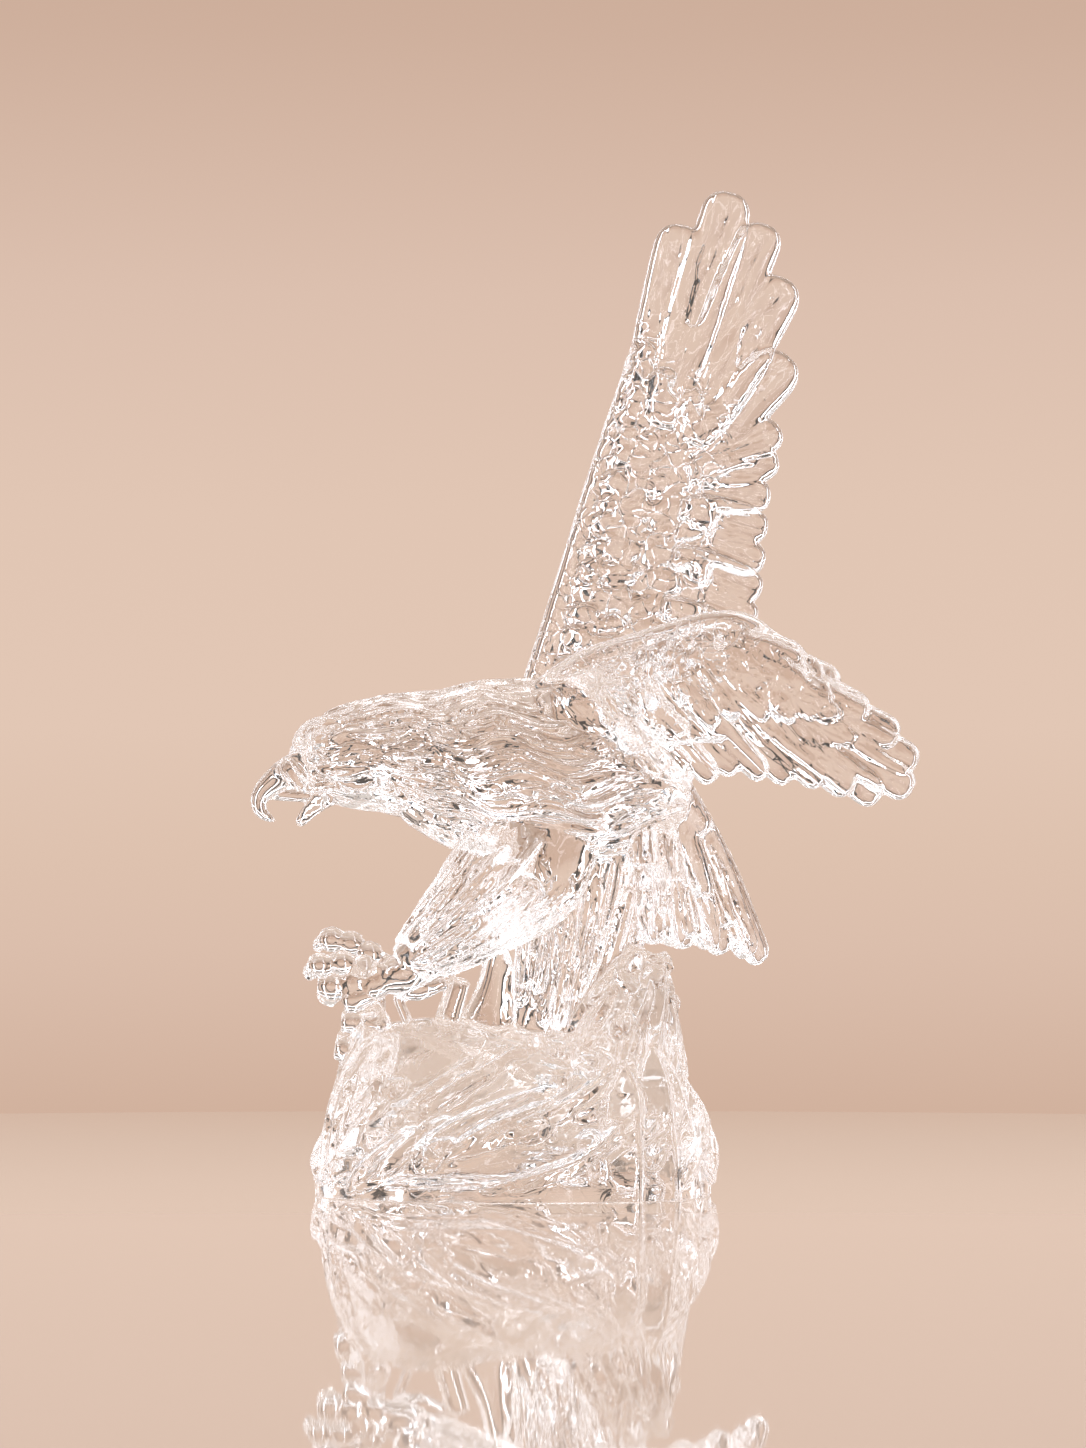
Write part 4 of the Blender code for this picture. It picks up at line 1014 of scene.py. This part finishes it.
def press_ridges(rows, count, start, length):
    """Presses in ridges that climb a tall rock, from a share of its height."""
    path, heights, widths = split_rows(rows)
    for n in range(count):
        turn = 2 * math.pi * (n + rng.uniform(-0.25, 0.25)) / count
        points = []
        for step in (0.0, 0.4, 0.7, 1.0):
            share = start + length * step
            points.append(spline(path, share) + rock_side(heights, widths, share, turn + 0.5 * step))
        face = (points[1] - spline(path, start + 0.4 * length)).normalized()
        press_form(points, drawn(1.6, 2.4, 2.0, 1.0), drawn(1.6, 2.3, 2.0, 1.0), face, rings=14, sides=5)
        leave_grain(points, face, depth=0.25)


BEDS = 57
for n in range(BEDS):
    press_bed(n)
press_ridges(PEAK, 11, 0.30, 0.58)
press_ridges(COLUMN, 12, 0.12, 0.60)
press_ridges(COLUMN, 9, 0.45, 0.50)
print("forms pressed so far:", pressed["forms"])

# %% [markdown]
# ## Splinters and rubble
# Upright splinters stand at the tail end of the base, like quartz points. Small broken lumps lie where the
# beds end, with round drops of glass between them. A lump is a ball with few sides, stretched and turned at
# random, so that no two are alike.


# %% Press in the upright splinters
def press_splinter(turn, width, top, lean):
    """Presses in an upright splinter with a square, rounded section."""
    foot = crag_skin(turn, 0.0) * 0.92
    point = crag_skin(turn, 24.0) * 0.96
    point = Vector((point.x + lean * MM, point.y, top * MM))
    path = [foot - UP * (UNDERSIDE_ALLOWANCE / 2), foot.lerp(point, 0.4), foot.lerp(point, 0.75), point]
    widths = drawn(width, width * 0.95, width * 0.8, width * 0.1)
    press_form(path, widths, drawn(5.0, 5.0, 4.2, 1.0), SIDEWAYS, rings=16, sides=16, squareness=0.35)
    leave_grain([foot, point], SIDEWAYS, depth=0.0)


SPLINTERS = (  # turn about the base, half width, top, lean
    (-1.05, 5.4, 31.0, 4.0),
    (-0.72, 5.0, 36.0, 2.0),
    (-0.38, 4.6, 33.0, -1.0),
    (0.35, 5.0, 30.0, -2.0),
    (0.8, 5.2, 33.0, 2.0),
)
for splinter in SPLINTERS:
    press_splinter(*splinter)
print("upright splinters:", len(SPLINTERS))


# %% Scatter the rubble
def press_lump(centre, size, facing):
    """Presses in one broken lump, longest in a random direction along the rock."""
    lean = Vector((fine.uniform(-1, 1), fine.uniform(-1, 1), fine.uniform(-0.3, 1)))
    along = (lean - facing * lean.dot(facing)).normalized() * size * fine.uniform(0.8, 1.7)
    press_form([centre - along, centre, centre + along], [size * 0.5, size, size * 0.4],
               [size * 0.4, size * 0.9, size * 0.4], facing, rings=5, sides=5)
    leave_grain([centre - along, centre + along], facing, depth=0.0, net=0.15)


def scatter_on_mound(count):
    """Presses in lumps on the mound, most of them near its top."""
    for _ in range(count):
        turn, up = fine.uniform(0, 2 * math.pi), fine.triangular(3, 34.5, 33)
        place = crag_skin(turn, up)
        facing = Vector((place.x, place.y * 1.3, 0.02)).normalized()
        press_lump(place, fine.uniform(2.4, 4.4) * MM, facing)


def scatter_on_rock(rows, count, first, last):
    """Presses in lumps on a tall rock, between two shares of its height."""
    path, heights, widths = split_rows(rows)
    for _ in range(count):
        share, turn = fine.uniform(first, last), fine.uniform(0, 2 * math.pi)
        out = rock_side(heights, widths, share, turn)
        press_lump(spline(path, share) + out, fine.uniform(1.7, 3.2) * MM, out.normalized())


def scatter_drops(count, lowest, smallest):
    """Presses in round drops of glass on the mound, from a height up and from a share of its radius out."""
    for _ in range(count):
        turn, up = fine.uniform(0, 2 * math.pi), fine.uniform(lowest, 34.8)
        place, size = crag_skin(turn, up), fine.uniform(2.2, 3.6) * MM
        inward = fine.uniform(smallest, 1.0)
        place = Vector((place.x * inward, place.y * inward, place.z))
        press_form([place - UP * size, place, place + UP * size], [size * 0.6, size, size * 0.6],
                   [size * 0.6, size, size * 0.6], SIDEWAYS, rings=8, sides=10)
        leave_grain([place - UP * size, place + UP * size], SIDEWAYS, depth=0.0, net=0.15)


scatter_on_mound(70)
scatter_drops(30, 24.0, 1.0)
scatter_drops(36, 34.0, 0.1)
scatter_on_rock(COLUMN, 30, 0.25, 0.98)
scatter_on_rock(PEAK, 36, 0.25, 0.95)
print("forms pressed in all:", pressed["forms"])

# %% [markdown]
# ## One pour
# The glass runs into every form at once and leaves one skin. A voxel Remesh does the same: it fills the
# overlapping forms with small cells and wraps them in one closed surface. A Smooth modifier takes off the
# cells' steps, as the fire polishes the glass, and Decimate then spends its triangles where the skin bends.

# %% Fuse the forms into one skin
def fuse(forms):
    """The overlapping forms fused into one skin, as a bmesh."""
    mesh = bpy.data.meshes.new("forms")
    forms.to_mesh(mesh)
    forms.free()
    obj = bpy.data.objects.new("forms", mesh)
    bpy.context.scene.collection.objects.link(obj)
    melt = obj.modifiers.new("melt", "REMESH")
    melt.mode = "VOXEL"
    melt.voxel_size = CAST_GRAIN
    polish = obj.modifiers.new("fire_polish", "SMOOTH")
    polish.factor = 0.5
    polish.iterations = 4
    thin = obj.modifiers.new("thin_out", "DECIMATE")
    bpy.context.view_layer.update()
    graph = bpy.context.evaluated_depsgraph_get()
    before = thin_input_faces(obj, thin)
    print("skin before thinning:", before, "triangles")
    thin.ratio = MOST_TRIANGLES / max(before, MOST_TRIANGLES)
    bpy.context.view_layer.update()
    skin = bmesh.new()
    skin.from_object(obj, graph)
    bpy.data.objects.remove(obj)
    bpy.data.meshes.remove(mesh)
    return skin


def thin_input_faces(obj, thin):
    """How many triangles reach the thinning step."""
    thin.show_viewport = False
    bpy.context.view_layer.update()
    mesh = obj.evaluated_get(bpy.context.evaluated_depsgraph_get()).to_mesh()
    count = sum(len(face.vertices) - 2 for face in mesh.polygons)
    thin.show_viewport = True
    return count


skin = fuse(wax)
print("skin after thinning:", sum(len(face.verts) - 2 for face in skin.faces), "triangles")


# %% Keep the one outer skin
def keep_largest(skin):
    """Deletes every separate skin but the largest, so that no bubble stays inside the casting."""
    unseen = set(skin.verts)
    largest = []
    while unseen:
        found, edge = [], [unseen.pop()]
        while edge:
            vert = edge.pop()
            found.append(vert)
            for link in vert.link_edges:
                other = link.other_vert(vert)
                if other in unseen:
                    unseen.remove(other)
                    edge.append(other)
        largest = max(largest, found, key=len)
    kept = set(largest)
    bmesh.ops.delete(skin, geom=[vert for vert in skin.verts if vert not in kept], context="VERTS")


keep_largest(skin)
print("largest skin:", sum(len(face.verts) - 2 for face in skin.faces), "triangles")

# %% [markdown]
# ## Grinding the underside
# A casting is ground flat on a wheel so that it stands well. Here bisect_plane cuts the skin at the table's
# height, and holes_fill closes the cut. The cut's edge is marked sharp, as ground glass has a crisp arris
# there. Then the skin is set exactly inside the solid's box, which moves each place by less than a
# millimetre.


# %% Grind the underside and set the box
def grind_flat(skin):
    """Cuts the skin at the table's height and closes the cut with a flat face."""
    everything = skin.verts[:] + skin.edges[:] + skin.faces[:]
    bmesh.ops.bisect_plane(skin, geom=everything, plane_co=(0, 0, 0), plane_no=(0, 0, 1), clear_inner=True)
    rim = [edge for edge in skin.edges if edge.is_boundary]
    made = bmesh.ops.holes_fill(skin, edges=rim, sides=0)
    for face in skin.faces:
        face.smooth = True
    for face in made["faces"]:
        face.smooth = False
    for edge in rim:
        edge.smooth = False
    bmesh.ops.recalc_face_normals(skin, faces=skin.faces)
    bmesh.ops.triangulate(skin, faces=made["faces"])
    return len(rim)


def set_in_box(skin, low, high):
    """Scales and moves the skin so that its box is the solid's own, and gives the longest move."""
    corners = [[pick(vert.co[n] for vert in skin.verts) for pick in (min, max)] for n in range(3)]
    shares = [(high[n] - low[n]) / (corners[n][1] - corners[n][0]) for n in range(3)]
    bmesh.ops.translate(skin, vec=[-corner[0] for corner in corners], verts=skin.verts)
    bmesh.ops.scale(skin, vec=shares, verts=skin.verts)
    bmesh.ops.translate(skin, vec=low, verts=skin.verts)
    return max(abs(side[n] - corners[n][m]) for m, side in enumerate((low, high)) for n in range(3))


rim_edges = grind_flat(skin)
longest_move = set_in_box(skin, cad_low, cad_high)
print("edges round the ground face:", rim_edges, "and moved by up to", round(longest_move * 1000, 2), "mm")

# %% Make the casting an object
casting_mesh = bpy.data.meshes.new("eagle_casting")
skin.to_mesh(casting_mesh)
skin.free()
casting = bpy.data.objects.new("eagle_casting", casting_mesh)
bpy.context.scene.collection.objects.link(casting)
print("casting:", len(casting_mesh.polygons), "faces,", len(casting_mesh.vertices), "vertices")

# %% [markdown]
# ## A map of the grain
# Each face now looks up the nearest mark of the trail and takes its place from it: how far across the
# feather it lies, and how far along, in millimetres. On a barbed feather the two numbers change places, and
# the first one grows with the distance from the shaft too, which slants the lines like barbs. The numbers
# are kept as a UV map, so the finish follows the feathers wherever they turn. Two attributes keep how deep
# the lines are and how strong the net is at each vertex.


# %% Find the nearest mark of every face
def nearest_marks(places):
    """The number of the trail's mark that is nearest to each place."""
    tree = KDTree(len(trail))
    for n, mark in enumerate(trail):
        tree.insert(mark[0], n)
    tree.balance()
    return np.array([tree.find(place)[1] for place in places])


centres = [face.center for face in casting_mesh.polygons]
face_marks = nearest_marks(centres)
print(len(trail), "marks for", len(centres), "faces")


# %% Write the grain map
def write_grain_map(mesh, marks):
    """Writes each corner's place on its feather as a UV map, in millimetres."""
    places = np.array([vert.co for vert in mesh.vertices])
    corners = np.empty(len(mesh.loops), int)
    mesh.loops.foreach_get("vertex_index", corners)
    counts = np.empty(len(mesh.polygons), int)
    mesh.polygons.foreach_get("loop_total", counts)
    mark = np.repeat(marks, counts)
    origin, along, across = (np.array([row[n] for row in trail])[mark] for n in range(3))
    travelled, barbed = (np.array([float(row[n]) for row in trail])[mark] for n in (3, 4))
    off = (places[corners] - origin) * 1000
    side = (off * across).sum(1)
    down = (off * along).sum(1) + travelled
    first = np.where(barbed > 0.5, down + 0.8 * np.abs(side), side)
    second = np.where(barbed > 0.5, side, down)
    grain = mesh.uv_layers.new(name="grain")
    grain.uv.foreach_set("vector", np.stack([first, second], 1).astype(np.float32).ravel())


def write_strength(mesh, name, column, marks):
    """Writes how strong one kind of line is at each vertex, from 0 to 1, and gives its mean."""
    strength = np.array([float(row[column]) for row in trail])[marks]
    attribute = mesh.attributes.new(name, "FLOAT", "POINT")
    attribute.data.foreach_set("value", strength.astype(np.float32))
    return round(float(strength.mean()), 2)


write_grain_map(casting_mesh, face_marks)
vertex_marks = nearest_marks([vert.co for vert in casting_mesh.vertices])
print("mean strength of the long lines:", write_strength(casting_mesh, "line_depth", 5, vertex_marks))
print("mean strength of the net:", write_strength(casting_mesh, "net_depth", 6, vertex_marks))

# %% [markdown]
# ## Clear cast crystal
# The finish is clear crystal glass, cast in a mould and polished by the fire. It gives the eye white edges,
# fine lines bent by the relief, and a body through which the room shows. Clearness and bending are plain
# values on the shader: full transmission, hardly any roughness and the index of refraction of clear glass.
# Two bumps carry what is finer than the skin. The strands are contour lines of a stretched noise, like the
# height lines on a map, because such lines never cross, as the strands in a wax feather don't. The net of
# wrinkles among small feathers is made from the edges of uneven cells, about 4 mm wide as on the real wing.
# Both could be geometry, but that would take millions of triangles.


# %% Helpers for node trees
def linear(colour):
    """A colour given as sRGB hex, turned to linear for the shader."""
    parts = [int(colour[n:n + 2], 16) / 255 for n in (0, 2, 4)]
    return [c / 12.92 if c <= 0.04045 else ((c + 0.055) / 1.055) ** 2.4 for c in parts] + [1.0]


def add_node(tree, kind, settings=None, values=None, links=None):
    """Adds a node with its settings, its sockets' values, and links from other nodes' outputs."""
    node = tree.nodes.new(kind)
    for name, value in (settings or {}).items():
        setattr(node, name, value)
    for name, value in (values or {}).items():
        node.inputs[name].default_value = value
    for name, source in (links or {}).items():
        tree.links.new(source, node.inputs[name])
    return node


def set_ramp(ramp, tones):
    """Sets a colour ramp to tones, each a position and a colour in hex."""
    while len(ramp.elements) < len(tones):
        ramp.elements.new(0.5)
    for element, (position, colour) in zip(ramp.elements, tones):
        element.position = position
        element.color = linear(colour)


print("pale warm white EFDCCE is", [round(c, 3) for c in linear("EFDCCE")])

# %% Draw the fine strands
STRAND_WANDER = 6.0  # millimetres across the feather over which the strands' noise changes
STRAND_LENGTH = 22.0  # millimetres along it
STRAND_STEPS = 4.0  # how many height lines the noise is cut into
STRAND_SOFTNESS = 0.5
STRAND_HEIGHT = 0.00012


def strand_lines(tree):
    """Grooves along the feathers, as the height lines of a stretched noise, weaker where the marks say so."""
    grain = add_node(tree, "ShaderNodeUVMap", {"uv_map": "grain"})
    scale = (1 / STRAND_WANDER, 1 / STRAND_LENGTH, 1.0)
    stretch = add_node(tree, "ShaderNodeMapping", {"vector_type": "POINT"}, {"Scale": scale},
                       {"Vector": grain.outputs["UV"]})
    noise = add_node(tree, "ShaderNodeTexNoise", {"noise_dimensions": "2D"},
                     {"Scale": 1.0, "Detail": 1.5, "Roughness": 0.5}, {"Vector": stretch.outputs["Vector"]})
    steps = add_node(tree, "ShaderNodeMath", {"operation": "MULTIPLY"}, {1: STRAND_STEPS},
                     {0: noise.outputs["Fac"]})
    fold = add_node(tree, "ShaderNodeMath", {"operation": "PINGPONG"}, {1: 1.0}, {0: steps.outputs[0]})
    groove = add_node(tree, "ShaderNodeMapRange", {"interpolation_type": "SMOOTHSTEP"},
                      {"From Min": 0.0, "From Max": STRAND_SOFTNESS}, {"Value": fold.outputs[0]})
    depth = add_node(tree, "ShaderNodeAttribute", {"attribute_name": "line_depth"})
    lines = add_node(tree, "ShaderNodeMath", {"operation": "MULTIPLY"}, None,
                     {0: groove.outputs[0], 1: depth.outputs["Fac"]})
    return lines.outputs[0]


# %% Draw the net of wrinkles
NET_SIZE = 4.2  # millimetres across a cell
NET_WANDER = 0.004
NET_RIDGE = 0.12  # a ridge's share of its cell
NET_HEIGHT = 0.00015


def mould_net(tree):
    """A net of fine ridges round uneven cells, only where the marks say so."""
    place = add_node(tree, "ShaderNodeTexCoord")
    wander = add_node(tree, "ShaderNodeTexNoise", None, {"Scale": 250.0, "Detail": 0.0},
                      {"Vector": place.outputs["Object"]})
    shift = add_node(tree, "ShaderNodeVectorMath", {"operation": "SCALE"}, {"Scale": NET_WANDER},
                     {0: wander.outputs["Color"]})
    bent = add_node(tree, "ShaderNodeVectorMath", {"operation": "ADD"}, None,
                    {0: place.outputs["Object"], 1: shift.outputs[0]})
    cells = add_node(tree, "ShaderNodeTexVoronoi", {"feature": "DISTANCE_TO_EDGE"},
                     {"Scale": 1000 / NET_SIZE}, {"Vector": bent.outputs[0]})
    ridge = add_node(tree, "ShaderNodeMapRange", {"interpolation_type": "SMOOTHSTEP"},
                     {"From Max": NET_RIDGE, "To Min": 1.0, "To Max": 0.0},
                     {"Value": cells.outputs["Distance"]})
    depth = add_node(tree, "ShaderNodeAttribute", {"attribute_name": "net_depth"})
    net = add_node(tree, "ShaderNodeMath", {"operation": "MULTIPLY"}, None,
                   {0: ridge.outputs[0], 1: depth.outputs["Fac"]})
    return net.outputs[0]


# %% Mix the crystal
def crystal_finish():
    """Clear cast crystal, see-through, with fine feather strands and a net of wrinkles."""
    material = bpy.data.materials.new("clear_cast_crystal")
    material.use_nodes = True
    tree = material.node_tree
    shader = tree.nodes["Principled BSDF"]
    shader.inputs["Base Color"].default_value = linear("FDFDFD")
    shader.inputs["Metallic"].default_value = 0.0
    shader.inputs["Roughness"].default_value = 0.01
    shader.inputs["IOR"].default_value = 1.5
    shader.inputs["Transmission Weight"].default_value = 1.0
    net_bump = add_node(tree, "ShaderNodeBump", None, {"Strength": 1.0, "Distance": NET_HEIGHT},
                        {"Height": mould_net(tree)})
    line_bump = add_node(tree, "ShaderNodeBump", None, {"Strength": 1.0, "Distance": STRAND_HEIGHT},
                         {"Height": strand_lines(tree), "Normal": net_bump.outputs["Normal"]})
    tree.links.new(line_bump.outputs["Normal"], shader.inputs["Normal"])
    return material


casting.data.materials.append(crystal_finish())
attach(casting, "root")
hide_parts("crystal_eagle")
print("finish:", casting.data.materials[0].name)

# %% [markdown]
# ## The table
# The eagle stands on a pale glossy table top. A flat disc is enough, since only its top is seen. Its lacquer
# gives the eye a clear mirror image of the base. Its colour is painted a little deeper towards the back, as
# painted shade where less light falls, so that its far edge melts into the wall behind it. A very slight
# waviness keeps the mirror from looking like a computer's.


# %% Lay the table
TABLE_RADIUS = 0.75
TABLE_BACK = 0.42  # how far behind the eagle its far edge is
TABLE_GAP = 0.0002  # keeps the two faces from touching
TABLE_SHADE_START = -0.10  # where the painted shade starts to deepen
# The lacquer's own pale tone at the front, then painted shade: deeper tones towards the back, where less
# light falls.
TABLE_TONES_AND_PAINTED_SHADE = ((0.0, "F2E0D3"), (0.3, "E6D5C8"), (0.65, "CCB7A8"), (1.0, "AB8569"))
TABLE_SWELL = 0.00002


def lay_table():
    """A disc just under the casting, as an object."""
    bm = bmesh.new()
    bmesh.ops.create_circle(bm, cap_ends=True, segments=128, radius=TABLE_RADIUS)
    bmesh.ops.translate(bm, vec=(0, TABLE_BACK - TABLE_RADIUS, -TABLE_GAP), verts=bm.verts)
    mesh = bpy.data.meshes.new("table")
    bm.to_mesh(mesh)
    bm.free()
    table = bpy.data.objects.new("table", mesh)
    bpy.context.scene.collection.objects.link(table)
    return table


def lacquer_finish():
    """Warm pale lacquer, glossy, with painted shade deepening it towards the back edge, and a slight
    waviness.
    """
    material = bpy.data.materials.new("pale_gloss_lacquer")
    material.use_nodes = True
    tree = material.node_tree
    shader = tree.nodes["Principled BSDF"]
    shader.inputs["Roughness"].default_value = 0.02
    shader.inputs["IOR"].default_value = 1.5
    place = add_node(tree, "ShaderNodeTexCoord")
    parts = add_node(tree, "ShaderNodeSeparateXYZ", None, None, {"Vector": place.outputs["Object"]})
    away = add_node(tree, "ShaderNodeMapRange", None, {"From Min": TABLE_SHADE_START, "From Max": TABLE_BACK},
                    {"Value": parts.outputs["Y"]})
    # Painted shade: the base colour darkens towards the back edge, where less light falls.
    painted_shade_tone = add_node(tree, "ShaderNodeValToRGB", None, None, {"Fac": away.outputs["Result"]})
    set_ramp(painted_shade_tone.color_ramp, TABLE_TONES_AND_PAINTED_SHADE)
    tree.links.new(painted_shade_tone.outputs["Color"], shader.inputs["Base Color"])
    swell = add_node(tree, "ShaderNodeTexNoise", None, {"Scale": 12.0, "Detail": 1.0},
                     {"Vector": place.outputs["Object"]})
    bump = add_node(tree, "ShaderNodeBump", None, {"Strength": 1.0, "Distance": TABLE_SWELL},
                    {"Height": swell.outputs["Fac"]})
    tree.links.new(bump.outputs["Normal"], shader.inputs["Normal"])
    return material


table = lay_table()
table.data.materials.append(lacquer_finish())
print("table radius in mm:", TABLE_RADIUS * 1000)

# %% [markdown]
# ## The room
# Clear glass shows whatever stands round it, so the room is kept plain: a warm wall, brightest at the
# eagle's own height, deeper above it and paler again overhead. The world's colour follows the height, through
# a colour ramp. Just out of the picture narrow rings of dark card stand round the wall behind the eagle, a
# common way to light clear glass. Bent by the relief, they become the thin dark lines beside the white ones
# that let the eye read clear glass.


# %% Fill the room with warm light
ROOM_TONES = (
    (0.0, "D8BFAE"),
    (0.475, "D0B09C"),
    (0.491, "DBBEAC"),
    (0.500, "DEC2AF"),
    (0.512, "E2C7B5"),
    (0.532, "E1C6B4"),
    (0.551, "DCC0AF"),
    (0.577, "CDAE9B"),
    (0.62, "D6BDAD"),
    (0.70, "DCCABF"),
    (0.85, "DCD2CB"),
    (1.0, "D4CCC6"),
)
CARD_RINGS = ((11.6, 13.5), (20.0, 24.0), (34.0, 40.0), (55.0, 61.0), (98.0, 104.0))
CARD_TONE = "464341"


def warm_room():
    """A room that is brightest a little above the table's height, with rings of dark card behind."""
    world = bpy.data.worlds.new("warm_room")
    world.use_nodes = True
    tree = world.node_tree
    place = add_node(tree, "ShaderNodeTexCoord")
    parts = add_node(tree, "ShaderNodeSeparateXYZ", None, None, {"Vector": place.outputs["Generated"]})
    height = add_node(tree, "ShaderNodeMapRange", None, {"From Min": -1.0, "From Max": 1.0},
                      {"Value": parts.outputs["Z"]})
    ramp = add_node(tree, "ShaderNodeValToRGB", None, None, {"Fac": height.outputs["Result"]})
    set_ramp(ramp.color_ramp, ROOM_TONES)
    cards = hang_cards(tree, parts.outputs["Y"])
    wall = add_node(tree, "ShaderNodeMix", {"data_type": "RGBA"}, None, {"Factor": cards.outputs["Alpha"]})
    tree.links.new(ramp.outputs["Color"], wall.inputs["A"])
    tree.links.new(cards.outputs["Color"], wall.inputs["B"])
    tree.links.new(wall.outputs["Result"], tree.nodes["Background"].inputs["Color"])
    return world


def hang_cards(tree, away):
    """Rings of card between two angles each, in degrees from straight behind the eagle."""
    angle = add_node(tree, "ShaderNodeMath", {"operation": "ARCCOSINE"}, None, {0: away})
    share = add_node(tree, "ShaderNodeMath", {"operation": "DIVIDE"}, {1: math.pi}, {0: angle.outputs[0]})
    cards = add_node(tree, "ShaderNodeValToRGB", None, None, {"Fac": share.outputs[0]})
    cards.color_ramp.interpolation = "CONSTANT"
    edges = [0.0] + [edge for ring in CARD_RINGS for edge in ring]
    set_ramp(cards.color_ramp, [(edge / 180, CARD_TONE) for edge in edges])
    for n, element in enumerate(cards.color_ramp.elements):
        element.alpha = n % 2
    return cards


bpy.context.scene.world = warm_room()
print("tones in the room:", len(ROOM_TONES))

# %% [markdown]
# ## Soft lamps
# What the eye reads as crystal is the lamps themselves, bent by every groove. A broad lamp behind the eagle
# would show through its thick body as a blank white patch. So only narrow strips stand behind it, and each
# groove turns them into fine white lines. Broad panels stand at the sides, from where only the outer edges
# bend light to the eye, and give the white outlines. Two rings of level strips hang higher up for the
# feathers that lie level. The lamps are out of sight: the camera and the table's own colour don't see them,
# apart from the wide soft lamp overhead, which lights the table.


# %% Set up the lamps
LAMP_CIRCLE = 1.35
STRIP_GLOW = 4.2
PANEL_GLOW = 1.3


def add_lamp(name, place, size, radiance, target=(0.0, 0.0, 0.12), on_table=False):
    """Adds a flat lamp that faces its target, its light given as the brightness of its face."""
    light = bpy.data.lights.new(name, "AREA")
    light.shape = "RECTANGLE"
    light.size, light.size_y = size
    light.energy = radiance * math.pi * size[0] * size[1]
    light.color = linear("FFFFFF" if on_table else "EEF4FF")[:3]
    lamp = bpy.data.objects.new(name, light)
    lamp.location = place
    lamp.rotation_euler = (Vector(target) - Vector(place)).to_track_quat("-Z", "Y").to_euler()
    lamp.visible_camera = False
    lamp.visible_diffuse = on_table
    bpy.context.scene.collection.objects.link(lamp)


def stand_panels(name, turns, width, radiance):
    """Stands upright panels in a circle, each at a turn in degrees from straight behind the eagle."""
    for n, turn in enumerate(turns):
        x, y = LAMP_CIRCLE * math.sin(math.radians(turn)), LAMP_CIRCLE * math.cos(math.radians(turn))
        add_lamp(f"{name}_{n}", (x, y, 0.75), (width, 1.5), radiance, target=(0.0, 0.0, 0.75))


def hang_strips(height, first_turn):
    """Hangs a ring of eight level strips at a height."""
    for n in range(8):
        turn = math.radians(first_turn + 45 * n)
        place = (LAMP_CIRCLE * math.sin(turn), LAMP_CIRCLE * math.cos(turn), height)
        add_lamp(f"level_strip_{round(height * 10)}_{n}", place, (1.0, 0.03), STRIP_GLOW)


stand_panels("thin_strip", (15, -15, 135, -135, 165, -165), 0.04, STRIP_GLOW)
stand_panels("back_panel", (50, -50), 0.3, PANEL_GLOW)
stand_panels("side_panel", (75, -75, 105, -105), 0.4, PANEL_GLOW)
hang_strips(0.5, 0.0)
hang_strips(0.9, 22.5)
add_lamp("crown_lamp", (0.0, 0.15, 1.6), (1.2, 0.35), 8.5)
add_lamp("table_lamp", (0.0, 0.0, 1.6), (1.3, 1.3), 1.6, on_table=True)

# %% [markdown]
# ## Camera
# A long lens from well away keeps the wings' proportions. It stands a little under the height of the eagle's
# shoulder and looks very slightly up.

# %% Place the camera
camera_data = bpy.data.cameras.new("camera")
camera_data.sensor_fit = "VERTICAL"
camera_data.sensor_height = 36.0
camera_data.lens = 136.9
camera = bpy.data.objects.new("camera", camera_data)
camera.location = (0.00685, -1.300, 0.0795)
camera.rotation_euler = (math.radians(91.366), 0.0, 0.0)
bpy.context.scene.collection.objects.link(camera)
bpy.context.scene.camera = camera
print("camera is", round(camera.location.length, 3), "m away")

# %% [markdown]
# ## How light travels through the casting
# A ray passes many skins of glass before it leaves, so it may bend or bounce inside 20 times before it is
# given up, or dark spots would stay in the crag. Light that glass focuses on a table needs a very long
# time to settle, so those patterns are left out. In their place the casting is clear to the table's own
# light, with no shadow: real crystal lets nearly all light through. The plain view transform keeps the
# whites of the edges as white as the lamps.

# %% Set how light travels
MOST_BOUNCES = 20
scene = bpy.context.scene
scene.view_settings.view_transform = "Standard"
scene.cycles.max_bounces = MOST_BOUNCES
scene.cycles.transmission_bounces = MOST_BOUNCES
scene.cycles.glossy_bounces = MOST_BOUNCES
scene.cycles.caustics_refractive = False
scene.cycles.caustics_reflective = False
casting.visible_shadow = False
casting.visible_diffuse = False
print("bounces through glass:", scene.cycles.transmission_bounces)
